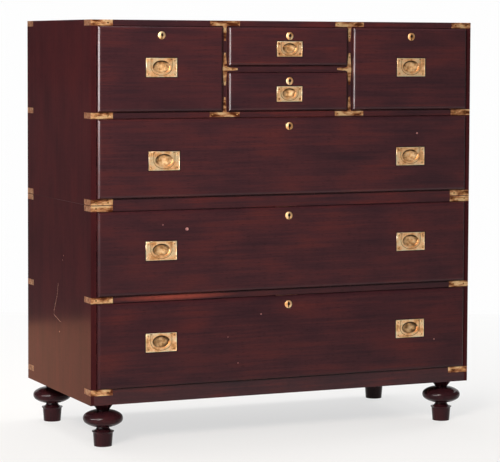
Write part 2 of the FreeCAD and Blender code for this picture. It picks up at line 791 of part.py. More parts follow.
top_cut = trimmed("upper_top_cut", top_blank, partition_blanks + over)
keep(trimmed("upper_top", top_cut, [upper_straps]))
shelf_cut = trimmed("upper_shelf_cut", shelf_blank, partition_blanks + [mortises["upper_long_drawer"]])
keep(trimmed("upper_shelf", shelf_cut, [upper_straps]))
small_cut = trimmed("small_shelf_cut", small_blank, [mortises["lower_small_drawer"]])
keep(trimmed("small_shelf", small_cut, [upper_straps]))
bottom_cut = trimmed("upper_bottom_cut", bottom_blank, peg_holes)
keep(trimmed("upper_bottom", bottom_cut, [upper_straps]))
upper_back = back_boards("upper", SPLIT, f"{UPPER_TOP} - {SPLIT}", upper_straps)
let_in = [top_blank, shelf_blank, bottom_blank, upper_back]
side_boards("upper", SPLIT, f"{SUMMIT} - {SPLIT}", let_in, upper_straps)
upper_names = ("left_drawer", "upper_small_drawer", "lower_small_drawer", "right_drawer", "upper_long_drawer")
keep(group("upper_drawer_stops", [stop for title in upper_names for stop in stops[title]]))

# Lower section
top_blank = cross_board("lower_top_blank", LOWER_TOP, "case_depth")
shelf_blank = cross_board("lower_shelf_blank", LOWER_SHELF, SHELF_DEPTH)
bottom_blank = cross_board("lower_bottom_blank", LOWER_BOTTOM, SHELF_DEPTH)
rail = block(
    "bottom_rail", f"{LEFT_EDGE} - housing", FRONT, BASE,
    f"{INSIDE} + 2 * housing", "rail_depth", "bottom_rail - board",
)
keep(rail)
top_cut = trimmed("lower_top_cut", top_blank, peg_seats + [mortises["middle_long_drawer"]])
keep(trimmed("lower_top", top_cut, [lower_straps]))
shelf_cut = trimmed("lower_shelf_cut", shelf_blank, [mortises["bottom_long_drawer"]])
keep(trimmed("lower_shelf", shelf_cut, [lower_straps]))
keep(trimmed("lower_bottom", bottom_blank, [lower_straps]))
lower_back = back_boards("lower", BASE, f"{LOWER_TOP} - {BASE}", lower_straps)
let_in = [top_blank, shelf_blank, bottom_blank, rail, lower_back]
side_boards("lower", BASE, f"{SPLIT} - {BASE}", let_in, lower_straps)
lower_names = ("middle_long_drawer", "bottom_long_drawer")
keep(group("lower_drawer_stops", [stop for title in lower_names for stop in stops[title]]))

# Feet, and the bored blocks that they are pegged into
feet = []
blocks = []
for side, x, block_x in (
    ("left", "foot_inset - case_width / 2", LEFT_EDGE),
    ("right", "case_width / 2 - foot_inset", f"{RIGHT_EDGE} - foot_block"),
):
    for end, y, block_y in (
        ("front", f"{FRONT} + foot_inset", f"{FRONT} + rail_depth"),
        ("back", f"{BACK} - foot_inset", f"{BACK_FACE} - foot_block"),
    ):
        name = f"foot_{side}_{end}"
        feet.append(foot(name, x, y))
        high = "bottom_rail - board"
        solid = block(f"{name}_solid", block_x, block_y, BASE, "foot_block", "foot_block", high)
        bore = rod(f"{name}_bore", "foot_peg_radius + seat_clearance", high, x, y, BASE)
        blocks.append(trimmed(f"{name}_block", solid, [bore]))
keep(group("feet", feet))
keep(group("foot_blocks", blocks))

# Drawers: one handle on each short one and two on each long one, set by eye a little off the middle
HANDLE_RISE = {
    "left_drawer": "side_handle_rise",
    "right_drawer": "side_handle_rise",
    "upper_long_drawer": "(0 - row_two_handle_drop)",
    "middle_long_drawer": "row_three_handle_rise",
    "bottom_long_drawer": "row_four_handle_rise",
}
NEAR_SHIFT = {"upper_long_drawer": "row_two_handle_shift"}
FAR_SHIFT = {"middle_long_drawer": "right_handle_shift", "bottom_long_drawer": "right_handle_shift"}
for title, (left, right, low, high) in OPENINGS.items():
    if "long" in title:
        near = f"({LEFT_X} + {NEAR_SHIFT.get(title, 0)})"
        far = f"({RIGHT_X} + {FAR_SHIFT.get(title, 0)})"
        handles = [(f"{title}_handle_left", near), (f"{title}_handle_right", far)]
    else:
        handles = [(f"{title}_handle", f"(({left} + {right}) / 2)")]
    size = SMALL if "small" in title else LARGE
    drawer(title, left, right, low, high, size, handles, HANDLE_RISE.get(title, "0"))

# Every object has to be sound before any piece is written
doc.recompute()
faults = [item.Name for item in doc.Objects if "Invalid" in item.State or "Error" in item.State]
for item in nodes:
    if item.Shape.isNull() or not item.Shape.isValid():
        faults.append(item.Label)
if faults:
    raise RuntimeError("unsound: " + ", ".join(faults))
os.makedirs("parts", exist_ok=True)
for item in nodes:
    item.Shape.exportStep(f"parts/{item.Label}.step")
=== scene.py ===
"""Looks of the campaign chest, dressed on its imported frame. Lengths are metres unless a name ends in _mm."""

import logging
import math
from dataclasses import dataclass, field
from enum import Enum

import bpy
import numpy as np
from mathutils import Matrix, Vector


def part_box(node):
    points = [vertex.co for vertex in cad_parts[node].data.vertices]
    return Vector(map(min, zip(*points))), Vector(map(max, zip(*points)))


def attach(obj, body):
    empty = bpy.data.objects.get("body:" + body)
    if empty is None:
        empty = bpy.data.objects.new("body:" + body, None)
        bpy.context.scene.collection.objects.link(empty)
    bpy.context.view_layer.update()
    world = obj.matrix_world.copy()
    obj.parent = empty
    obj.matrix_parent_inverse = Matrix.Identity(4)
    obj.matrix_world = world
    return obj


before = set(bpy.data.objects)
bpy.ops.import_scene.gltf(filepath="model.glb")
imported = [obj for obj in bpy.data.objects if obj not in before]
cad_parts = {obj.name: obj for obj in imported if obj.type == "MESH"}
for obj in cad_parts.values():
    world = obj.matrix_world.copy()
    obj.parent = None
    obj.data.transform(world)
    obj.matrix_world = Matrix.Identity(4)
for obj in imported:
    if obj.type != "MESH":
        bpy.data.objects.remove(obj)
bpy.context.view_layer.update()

LOG = logging.getLogger("campaign_chest")
MM = 0.001
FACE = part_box("left_drawer_front")[0][1]
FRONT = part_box("upper_top")[0][1]
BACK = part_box("upper_top")[1][1]
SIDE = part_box("upper_side_right")[1][0]

Material = bpy.types.Material
Socket = bpy.types.NodeSocket
Tree = bpy.types.NodeTree
Point = tuple[float, float, float]


class Grain(Enum):
    """The way the fibres of a board run, as a unit direction."""

    ACROSS = (1.0, 0.0, 0.0)
    DEEP = (0.0, 1.0, 0.0)
    UPRIGHT = (0.0, 0.0, 1.0)

    def squeeze(self, ratio: float) -> tuple[float, ...]:
        """Scales that leave a pattern alone across the fibres and squeeze it by ratio along them."""
        return tuple(1.0 - (1.0 - ratio) * share for share in self.value)


class Facing(Enum):
    """The way a face of the chest looks, as its outward unit direction."""

    FRONT = (0.0, -1.0, 0.0)
    BACK = (0.0, 1.0, 0.0)
    LEFT = (-1.0, 0.0, 0.0)
    RIGHT = (1.0, 0.0, 0.0)


def linear(hex_colour: str) -> tuple[float, float, float, float]:
    """Turns an sRGB hex colour into linear light.

    Args:
        hex_colour: six hex digits after a hash sign.

    Returns:
        Linear red, green and blue, and an alpha of 1.
    """
    srgb = np.array([int(hex_colour[i:i + 2], 16) for i in (1, 3, 5)]) / 255.0
    light = np.where(srgb <= 0.04045, srgb / 12.92, ((srgb + 0.055) / 1.055) ** 2.4)
    return (*light.tolist(), 1.0)


def add(tree: Tree, kind: str, sockets: dict | None = None, stops: list | None = None,
        out: int | str = 0, **settings: object) -> Socket | None:
    """Adds one node with its settings, values and links.

    Args:
        tree: the node tree that gets the node.
        kind: the node's type name after "ShaderNode".
        sockets: input name or number, with the value it takes or the output socket that feeds it.
        stops: for a colour ramp, its (position, hex colour) pairs.
        out: the output that is handed back.
        settings: properties of the node itself.

    Returns:
        The chosen output, or None for an output node.
    """
    made = tree.nodes.new("ShaderNode" + kind)
    for name, value in settings.items():
        setattr(made, name, value)
    if stops:
        ramp = made.color_ramp.elements
        while len(ramp) < len(stops):
            ramp.new(0.5)
        for stop, (position, colour) in zip(ramp, stops):
            stop.position, stop.color = position, linear(colour)
    for name, value in (sockets or {}).items():
        if isinstance(value, Socket):
            tree.links.new(value, made.inputs[name])
        else:
            made.inputs[name].default_value = value
    return made.outputs[out] if len(made.outputs) else None


def new_material(name: str) -> tuple[Material, Tree, Socket]:
    """Makes an empty node material.

    Args:
        name: the material's name.

    Returns:
        The material, its node tree and its Object coordinates.
    """
    material = bpy.data.materials.new(name)
    material.use_nodes = True
    tree = material.node_tree
    tree.nodes.clear()
    return material, tree, add(tree, "TexCoord", out="Object")


@dataclass(frozen=True)
class FrenchPolishedMahogany:
    """Mahogany stained dark and French polished: fine straight streaks, darker clouds, a soft shellac gloss.

    The tone adds up cloud, band and streak noise by shares, and stops are the tones of the dark, body and red
    colours. heart is the middle (x, z) of a painted highlight, a lens of lighter red, if the board gets one.
    """

    name: str
    grain: Grain
    board: float = 0.0
    dark: str = "#26151b"
    body: str = "#371b1f"
    red: str = "#4a201f"
    pore_dark: str = "#1a0c0e"
    stops: Point = (0.33, 0.50, 0.67)
    cloud_mm: float = 60.0
    band_mm: float = 10.0
    streak_mm: float = 3.2
    pore_mm: float = 1.0
    shares: Point = (0.46, 0.26, 0.28)
    gloss: float = 0.25
    rough: tuple[float, float] = (0.27, 0.19)
    painted_sheen: tuple[float, float] | None = None
    painted_sheen_red: str = "#7f392e"
    painted_sheen_size: Point = (0.17, 4.0, 0.009)

    def material(self) -> Material:
        """Builds the finish.

        Returns:
            The material, whose streaks lie along the grain.
        """
        material, tree, where = new_material(self.name)
        shift = (0.37 * self.board, 0.53 * self.board, 0.71 * self.board)
        wide, along, short = (
            add(tree, "Mapping", {"Vector": where, "Location": shift, "Scale": self.grain.squeeze(ratio)})
            for ratio in (0.4, 0.03, 0.07))
        cloud = add(tree, "TexNoise", {
            "Vector": wide, "Scale": 1 / (self.cloud_mm * MM), "Detail": 2.0, "Roughness": 0.5})
        band = add(tree, "TexNoise", {
            "Vector": along, "Scale": 1 / (self.band_mm * MM), "Detail": 2.0, "Roughness": 0.5})
        streak = add(tree, "TexNoise", {
            "Vector": along, "Scale": 1 / (self.streak_mm * MM), "Detail": 3.0, "Roughness": 0.6})
        # Real pores are a quarter of a millimetre wide; they are drawn at 1 mm so that they show.
        pore = add(tree, "TexNoise", {"Vector": short, "Scale": 1 / (self.pore_mm * MM), "Detail": 1.0})
        pores = add(tree, "MapRange", {
            "Value": pore, "From Min": 0.34, "From Max": 0.42, "To Min": 1.0, "To Max": 0.0})
        tone = 0.0
        for noise, share in zip((cloud, band, streak), self.shares):
            tone = add(tree, "Math", {0: noise, 1: share, 2: tone}, operation="MULTIPLY_ADD")
        colours = (self.dark, self.body, self.red)
        wood = add(tree, "ValToRGB", {"Fac": tone}, stops=list(zip(self.stops, colours)))
        # Painted highlight: a lens of lighter red mixed into the wood.
        if self.painted_sheen:
            middle = (self.painted_sheen[0], 0.0, self.painted_sheen[1])
            lens = add(tree, "Mapping", {
                "Vector": where, "Location": middle, "Scale": self.painted_sheen_size}, vector_type="TEXTURE")
            glow = add(tree, "TexGradient", {"Vector": lens}, gradient_type="SPHERICAL", out="Fac")
            glow = add(tree, "MapRange", {"Value": glow, "From Min": 0.0, "From Max": 0.8})
            wood = add(tree, "MixRGB", {"Fac": glow, "Color1": wood, "Color2": linear(self.painted_sheen_red)})
        share = add(tree, "Math", {0: pores, 1: 0.45}, operation="MULTIPLY")
        wood = add(tree, "MixRGB", {"Fac": share, "Color1": wood, "Color2": linear(self.pore_dark)})
        rough = add(tree, "MapRange", {
            "Value": band, "From Min": 0.3, "From Max": 0.7, "To Min": self.rough[0],
            "To Max": self.rough[1]})
        dents = add(tree, "Bump", {"Height": pores, "Strength": 0.06, "Distance": 0.2 * MM}, invert=True)
        shader = add(tree, "BsdfPrincipled", {
            "Base Color": wood, "Roughness": rough, "IOR": 1.5, "Specular IOR Level": self.gloss,
            "Normal": dents})
        add(tree, "OutputMaterial", {"Surface": shader})
        return material


@dataclass(frozen=True)
class BareCedar:
    """Cedar planed and left bare: pale pink-brown, straight soft lines, quite dull."""

    name: str
    grain: Grain
    pale: str = "#9c6a47"
    dark: str = "#74472f"
    stained: str = "#b9b0a8"
    ring_mm: float = 7.0
    stain_mm: float = 1000.0 / 9.0

    def material(self) -> Material:
        """Builds the finish.

        Returns:
            The material, whose lines lie along the grain.
        """
        material, tree, where = new_material(self.name)
        along = add(tree, "Mapping", {"Vector": where, "Scale": self.grain.squeeze(0.03)})
        rings = add(tree, "TexNoise", {
            "Vector": along, "Scale": 1 / (self.ring_mm * MM), "Detail": 4.0, "Roughness": 0.6})
        stain = add(tree, "TexNoise", {"Vector": where, "Scale": 1 / (self.stain_mm * MM), "Detail": 3.0})
        wood = add(tree, "ValToRGB", {"Fac": rings}, stops=[(0.3, self.dark), (0.7, self.pale)])
        shade = add(tree, "ValToRGB", {"Fac": stain}, stops=[(0.35, self.stained), (0.65, "#ffffff")])
        wood = add(tree, "MixRGB", {"Fac": 0.6, "Color1": wood, "Color2": shade}, blend_type="MULTIPLY")
        rough = add(tree, "MapRange", {
            "Value": rings, "From Min": 0.3, "From Max": 0.7, "To Min": 0.72, "To Max": 0.58})
        fibres = add(tree, "Bump", {"Height": rings, "Strength": 0.25, "Distance": 0.3 * MM})
        shader = add(tree, "BsdfPrincipled", {
            "Base Color": wood, "Roughness": rough, "IOR": 1.5, "Specular IOR Level": 0.4, "Normal": fibres})
        add(tree, "OutputMaterial", {"Surface": shader})
        return material


@dataclass(frozen=True)
class AgedBrass:
    """Brass polished by hand over many years: warm gold, browned in soft patches, with fine rubbing marks.

    spots is how softly the patches change round their middle tone, and tarnish names a point attribute that
    browns the metal where it is near 1, as painted shade and dirt. sides is painted shade: the browner colour
    of faces that look left or right, if there is one. rolled is how far the patches of a rolled strip are
    squeezed along X, so that they lie along it.
    """

    name: str
    bright: str = "#ffe2b4"
    dull: str = "#fecd98"
    brown: str = "#cb9662"
    speck: str = "#c4a682"
    # The dark brown that the point attribute mixes in: painted shade and dirt.
    tarnished: str = "#33200f"
    patch_mm: float = 18.0
    rub_mm: float = 2.2
    middle: float = 0.49
    spots: float = 0.13
    rough: float = 0.50
    shade_and_tarnish: str = ""
    sides: str = ""
    rolled: float = 1.0

    def material(self) -> Material:
        """Builds the finish.

        Returns:
            The metal material.
        """
        material, tree, where = new_material(self.name)
        along = add(tree, "Mapping", {"Vector": where, "Scale": Grain.ACROSS.squeeze(self.rolled)})
        patch = add(tree, "TexNoise", {
            "Vector": along, "Scale": 1 / (self.patch_mm * MM), "Detail": 3.0, "Roughness": 0.55})
        # Rubbing marks are finer than a tenth of a millimetre; they are drawn at 2 mm so that they show.
        rub = add(tree, "TexNoise", {"Vector": where, "Scale": 1 / (self.rub_mm * MM), "Detail": 2.0})
        tones = (self.middle - self.spots, self.middle, self.middle + self.spots)
        colours = (self.brown, self.dull, self.bright)
        metal = add(tree, "ValToRGB", {"Fac": patch}, stops=list(zip(tones, colours)))
        speck = add(tree, "ValToRGB", {"Fac": rub}, stops=[(0.32, self.speck), (0.55, "#ffffff")])
        metal = add(tree, "MixRGB", {"Fac": 0.35, "Color1": metal, "Color2": speck}, blend_type="MULTIPLY")
        # Painted shade and dirt from the point attribute, mixed towards the dark brown.
        if self.shade_and_tarnish:
            shade_and_age = add(tree, "Attribute", attribute_name=self.shade_and_tarnish, out="Fac")
            metal = add(tree, "MixRGB", {"Fac": shade_and_age, "Color1": metal, "Color2": linear(self.tarnished)})
        # Painted shade: faces that look left or right are mixed towards the browner sides colour.
        if self.sides:
            normal = add(tree, "SeparateXYZ", {0: add(tree, "TexCoord", out="Normal")}, out="X")
            turned = add(tree, "Math", {0: normal}, operation="ABSOLUTE")
            turned = add(tree, "MapRange", {
                "Value": turned, "From Min": 0.6, "From Max": 0.95, "To Max": 0.75})
            metal = add(tree, "MixRGB", {"Fac": turned, "Color1": metal, "Color2": linear(self.sides)})
        rough = add(tree, "MapRange", {
            "Value": patch, "From Min": 0.3, "From Max": 0.65, "To Min": self.rough + 0.08,
            "To Max": self.rough - 0.06})
        marks = add(tree, "Bump", {"Height": rub, "Strength": 0.10, "Distance": 0.1 * MM})
        shader = add(tree, "BsdfPrincipled", {
            "Base Color": metal, "Metallic": 1.0, "Roughness": rough, "Normal": marks})
        add(tree, "OutputMaterial", {"Surface": shader})
        return material


@dataclass(frozen=True)
class OldWaxAndShade:
    """Wax and dust pressed into a joint by years of polishing: nearly black, uneven and dull. It also stands
    for painted shade in the joints, on the floors of screw slots and inside keyholes.
    """

    name: str
    dark: str = "#0e0605"
    dusty: str = "#1d0f0c"
    crumb_mm: float = 3.0

    def material(self) -> Material:
        """Builds the finish.

        Returns:
            The wax material.
        """
        material, tree, where = new_material(self.name)
        crumbs = add(tree, "TexNoise", {"Vector": where, "Scale": 1 / (self.crumb_mm * MM), "Detail": 2.0})
        wax = add(tree, "ValToRGB", {"Fac": crumbs}, stops=[(0.35, self.dark), (0.7, self.dusty)])
        rough = add(tree, "MapRange", {
            "Value": crumbs, "From Min": 0.3, "From Max": 0.7, "To Min": 0.7, "To Max": 0.5})
        shader = add(tree, "BsdfPrincipled", {
            "Base Color": wax, "Roughness": rough, "IOR": 1.44, "Specular IOR Level": 0.1})
        add(tree, "OutputMaterial", {"Surface": shader})
        return material


@dataclass(frozen=True)
class ChippedPolish:
    """Bare wood where the shellac has been scratched or chipped away: pale, fibrous and dull."""

    name: str
    pale: str = "#d2ab94"
    deep: str = "#96695a"
    fibre_mm: float = 4.0

    def material(self) -> Material:
        """Builds the finish.

        Returns:
            The bare wood material.
        """
        material, tree, where = new_material(self.name)
        fibre = add(tree, "TexNoise", {"Vector": where, "Scale": 1 / (self.fibre_mm * MM), "Detail": 2.0})
        wood = add(tree, "ValToRGB", {"Fac": fibre}, stops=[(0.35, self.deep), (0.65, self.pale)])
        rough = add(tree, "MapRange", {
            "Value": fibre, "From Min": 0.3, "From Max": 0.7, "To Min": 0.8, "To Max": 0.6})
        shader = add(tree, "BsdfPrincipled", {
            "Base Color": wood, "Roughness": rough, "IOR": 1.5, "Specular IOR Level": 0.3})
        add(tree, "OutputMaterial", {"Surface": shader})
        return material


@dataclass(frozen=True)
class FloorPaint:
    """Matt white paint, with a whiter pool round and behind the chest.

    The pool is an ellipse that is turned by yaw to lie along the camera's view. The camera and reflections
    see it. It grows whiter towards the sheet, and it keeps the shadow.
    """

    name: str
    yaw: float
    paint: str = "#d8d6d3"
    white: str = "#fdfdfd"
    pool_at: Point = (0.35, 0.75, 0.0)
    pool_size: Point = (1.8, 2.2, 1.0)

    def material(self) -> Material:
        """Builds the finish.

        Returns:
            The paint material.
        """
        material, tree, where = new_material(self.name)
        paint = add(tree, "BsdfDiffuse", {"Color": linear(self.paint)})
        ring = add(tree, "Mapping", {
            "Vector": where, "Location": self.pool_at, "Rotation": (0.0, 0.0, -self.yaw),
            "Scale": self.pool_size}, vector_type="TEXTURE")
        glow = add(tree, "TexGradient", {"Vector": ring}, gradient_type="SPHERICAL", out="Fac")
        pool = add(tree, "MapRange", {"Value": glow, "From Max": 0.2, "To Min": 0.40})
        depth = add(tree, "MapRange", {
            "Value": add(tree, "SeparateXYZ", {0: ring}, out="Y"), "From Min": -0.38, "From Max": 0.66,
            "To Min": 0.66, "To Max": 0.96})
        kinds = ("Camera", "Glossy", "Transmission")
        rays = [add(tree, "LightPath", out=f"Is {kind} Ray") for kind in kinds]
        seen = add(tree, "Math", {0: rays[0], 1: rays[1]}, operation="MAXIMUM")
        seen = add(tree, "Math", {0: seen, 1: rays[2]}, operation="MAXIMUM")
        share = add(tree, "Math", {0: pool, 1: depth}, operation="MULTIPLY")
        share = add(tree, "Math", {0: share, 1: seen}, operation="MULTIPLY")
        white = add(tree, "Emission", {"Color": linear(self.white), "Strength": 1.0})
        add(tree, "OutputMaterial", {"Surface": add(tree, "MixShader", {0: share, 1: paint, 2: white})})
        return material


@dataclass(frozen=True)
class WhiteSheet:
    """A lit sheet that glows white on its near face, and whose far face lets everything through.

    It is turned by yaw to stand square to the camera, and fades out between two distances from its middle.
    """

    name: str
    yaw: float
    middle: Point
    white: str = "#fefefe"
    fade: tuple[float, float] = (2.0, 2.3)

    def material(self) -> Material:
        """Builds the finish.

        Returns:
            The sheet material.
        """
        material, tree, where = new_material(self.name)
        paper = add(tree, "Emission", {"Color": linear(self.white), "Strength": 1.0})
        spot = add(tree, "Mapping", {
            "Vector": where, "Location": self.middle, "Rotation": (0.0, 0.0, -self.yaw)},
            vector_type="TEXTURE")
        aside = add(tree, "Math", {0: add(tree, "SeparateXYZ", {0: spot}, out="X")}, operation="ABSOLUTE")
        fade = add(tree, "MapRange", {
            "Value": aside, "From Min": self.fade[0], "From Max": self.fade[1]},
            interpolation_type="SMOOTHSTEP")
        far = add(tree, "NewGeometry", out="Backfacing")
        away = add(tree, "Math", {0: far, 1: fade}, operation="MAXIMUM")
        seen = add(tree, "MixShader", {0: away, 1: paper, 2: add(tree, "BsdfTransparent")})
        add(tree, "OutputMaterial", {"Surface": seen})
        return material


def dress(node: str, material: Material) -> None:
    """Puts one finish on a CAD node.

    Args:
        node: the node's name.
        material: the finish.
    """
    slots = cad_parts[node].data.materials
    slots.clear()
    slots.append(material)
    LOG.info("%s: %s", node, material.name)


def place(name: str, data: bpy.types.ID) -> bpy.types.Object:
    """Puts a mesh, a lamp or a camera into the scene.

    Args:
        name: the object's name.
        data: what it shows.

    Returns:
        The new object.
    """
    made = bpy.data.objects.new(name, data)
    bpy.context.scene.collection.objects.link(made)
    return made


def quads(rows: int, cols: int, close_rows: bool, close_cols: bool) -> np.ndarray:
    """Faces of a grid of points, with the corners (r, c), (r + 1, c), (r + 1, c + 1) and (r, c + 1).

    Args:
        rows: the number of rows.
        cols: the number of points in a row.
        close_rows: whether the last row joins the first.
        close_cols: whether the last point of a row joins its first.

    Returns:
        The numbers of the corners, one face in each line.
    """
    steps = np.arange(rows - 1 + close_rows), np.arange(cols - 1 + close_cols)
    row, col = np.meshgrid(*steps, indexing="ij")
    ahead, beside = (row + 1) % rows, (col + 1) % cols
    corners = [row * cols + col, ahead * cols + col, ahead * cols + beside, row * cols + beside]
    return np.stack(corners, axis=-1).reshape(-1, 4)


def unit_steps(flat: np.ndarray) -> np.ndarray:
    """Unit directions along a flat path, one for each point."""
    step = np.gradient(flat, axis=0)
    return step / np.linalg.norm(step, axis=1, keepdims=True)


@dataclass
class Shape:
    """Points and faces of a piece before it becomes a mesh; parts numbers the finish of each face."""

    points: np.ndarray
    faces: list[list[int]]
    parts: np.ndarray

    @staticmethod
    def merged(shapes: list["Shape"]) -> "Shape":
        """Puts several shapes into one.

        Args:
            shapes: the shapes.

        Returns:
            One shape with the faces renumbered.
        """
        starts = np.cumsum([0] + [len(shape.points) for shape in shapes[:-1]]).tolist()
        faces = [[corner + start for corner in face]
                 for start, shape in zip(starts, shapes) for face in shape.faces]
        points = np.concatenate([shape.points for shape in shapes])
        return Shape(points, faces, np.concatenate([shape.parts for shape in shapes]))

    def piece(self, name: str, body: str, slot: str, materials: list[Material], smooth: bool = True,
              shade_and_tarnish: np.ndarray | None = None) -> bpy.types.Object:
        """Makes the object and lets it ride on its body.

        Args:
            name: the piece's name.
            body: the CAD body that it rides on.
            slot: the record's material slot. It is not used.
            materials: its finishes, in the order that parts counts them.
            smooth: whether its faces are shaded smooth.
            shade_and_tarnish: one value for each point, painted shade and dirt, kept as the attribute
                "tarnish".

        Returns:
            The new object.
        """
        mesh = bpy.data.meshes.new(name)
        mesh.from_pydata(self.points.tolist(), [], self.faces)
        for material in materials:
            mesh.materials.append(material)
        mesh.polygons.foreach_set("material_index", self.parts.astype(np.int32))
        mesh.polygons.foreach_set("use_smooth", np.full(len(self.faces), smooth))
        if shade_and_tarnish is not None:
            shades_and_ages = mesh.attributes.new("shade_and_tarnish", "FLOAT", "POINT").data
            shades_and_ages.foreach_set("value", shade_and_tarnish.astype(np.float32))
        mesh.update()
        made = place(name, mesh)
        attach(made, body)
        LOG.info("%s: %d faces on %s", name, len(self.faces), body)
        return made


@dataclass(frozen=True)
class Head:
    """A round head: its radius R, the height H of its dome, and half the width of its slot, or 0 for none."""

    radius: float
    dome: float
    slot: float = 0.0


def heads(centres: np.ndarray, facing: Facing, turns: np.ndarray, head: Head) -> Shape:
    """Round heads on a flat face, each cut by a straight slot.

    A head is a disc swept in columns. The column at x = u R, with u from -0.97 to 0.97, is a closed loop:
    along the top from y = -w to w, where w = sqrt(R R - x x), and back under the face. The top is the dome
    h = H (1 - r r / R R), and between the walls of the slot it drops almost to the face.

    Args:
        centres: the middle of each head on the face, one row each.
        facing: the way the face looks.
        turns: the angle of each slot.
        head: the sizes of a head.

    Returns:
        The heads as closed shells; the floor of a slot is part 1, which takes the dark finish of wax and
        painted shade.
    """
    radius, dome, slot = head.radius, head.dome, head.slot
    wall = slot / radius
    inner = [-wall - 0.03, -wall, wall, wall + 0.03] if slot else [-0.15, 0.15]
    u = np.array([-0.97, -0.8, -0.5, *inner, 0.5, 0.8, 0.97])
    v = np.array([-1.0, -0.55, 0.0, 0.55, 1.0, 0.5, -0.5])
    under = np.arange(len(v)) > 4
    x = np.repeat(u[:, None] * radius, len(v), axis=1)
    y = v[None, :] * np.sqrt(radius**2 - x**2)
    height = dome * (1.0 - (x**2 + y**2) / radius**2)
    if slot:
        height = np.where(np.abs(x) <= slot * 1.001, np.minimum(height, 0.08 * dome), height)
    height = np.where(under[None, :], -0.2 * MM, height)
    normal = np.array(facing.value)
    right = np.cross((0.0, 0.0, 1.0), normal)
    up = np.cross(normal, right)
    cos, sin = np.cos(turns)[:, None, None], np.sin(turns)[:, None, None]
    spread = (x * cos - y * sin)[..., None] * right + (x * sin + y * cos)[..., None] * up
    spread = spread + height[None, ..., None] * normal
    points = (centres[:, None, None, :] + spread).reshape(-1, 3)
    rows, around = len(u), len(v)
    sides = quads(rows, around, False, True)
    caps = [list(range(around)), [(rows - 1) * around + k for k in range(around)][::-1]]
    # The floor of a slot is the upper stretch between its two walls, columns 4 and 5. It gets a dark finish,
    # wax and painted shade in the slot.
    row, col = np.divmod(np.arange(len(sides)), around)
    floor = ((row == 4) & (col < 4)).astype(int) if slot else np.zeros(len(sides), int)
    faces, parts = sides.tolist() + caps, np.append(floor, [0, 0])
    starts = (np.arange(len(centres)) * rows * around).tolist()
    every = [[corner + start for corner in face] for start in starts for face in faces]
    return Shape(points, every, np.tile(parts, len(starts)))


def bead(path: np.ndarray, across: np.ndarray, facing: Facing, width: float, height: float,
         closed: bool) -> Shape:
    """A flat bead laid along a path on a face.

    The profile is a low lens, a = (-1/2 .. 1/2) wide and h = 1 - (2 a)(2 a) high, with its keel under the
    face. It is carried along the path: point = path + a W across + h H normal.

    Args:
        path: the points that it follows, one row each.
        across: the direction of its width at each point, lengthened at a mitre.
        facing: the way the face looks.
        width: its width W.
        height: its height H.
        closed: whether the path comes back to its start.

    Returns:
        The bead as a closed shell.
    """
    normal = np.array(facing.value)
    share = np.array([-0.5, -0.25, 0.0, 0.25, 0.5, 0.0])
    rise = np.append(1.0 - (2.0 * share[:5]) ** 2, -0.6)
    rise[[0, 4]] = -0.2
    points = path[:, None, :] + share[None, :, None] * width * across[:, None, :]
    points = points + (rise * height)[None, :, None] * normal
    count, around = len(path), len(share)
    sides = quads(count, around, closed, True)
    # The faces have to look outwards: where across, path and normal make a left hand, they are turned.
    turned = np.dot(np.cross(across[0], normal), path[1] - path[0]) > 0
    faces = (sides[:, ::-1] if turned else sides).tolist()
    if not closed:
        first, last = list(range(around)), [(count - 1) * around + k for k in range(around)]
        faces += [first, last[::-1]] if turned else [first[::-1], last]
    return Shape(points.reshape(-1, 3), faces, np.zeros(len(faces), int))


def oblong(x: float, z: float, wide: float, tall: float, width: float, height: float) -> Shape:
    """A bead round an oblong on the drawer faces, mitred at its four corners.

    Args:
        x: the oblong's middle along X.
        z: its middle along Z.
        wide: the width of the bead's middle line.
        tall: the height of that line.
        width: the bead's width.
        height: the bead's height.

    Returns:
        The closed bead.
    """
    signs = np.array([[-1, 0, -1], [1, 0, -1], [1, 0, 1], [-1, 0, 1]], float)
    path = signs * np.array([wide / 2, 0.0, tall / 2]) + np.array([x, FACE, z])
    return bead(path, signs, Facing.FRONT, width, height, True)


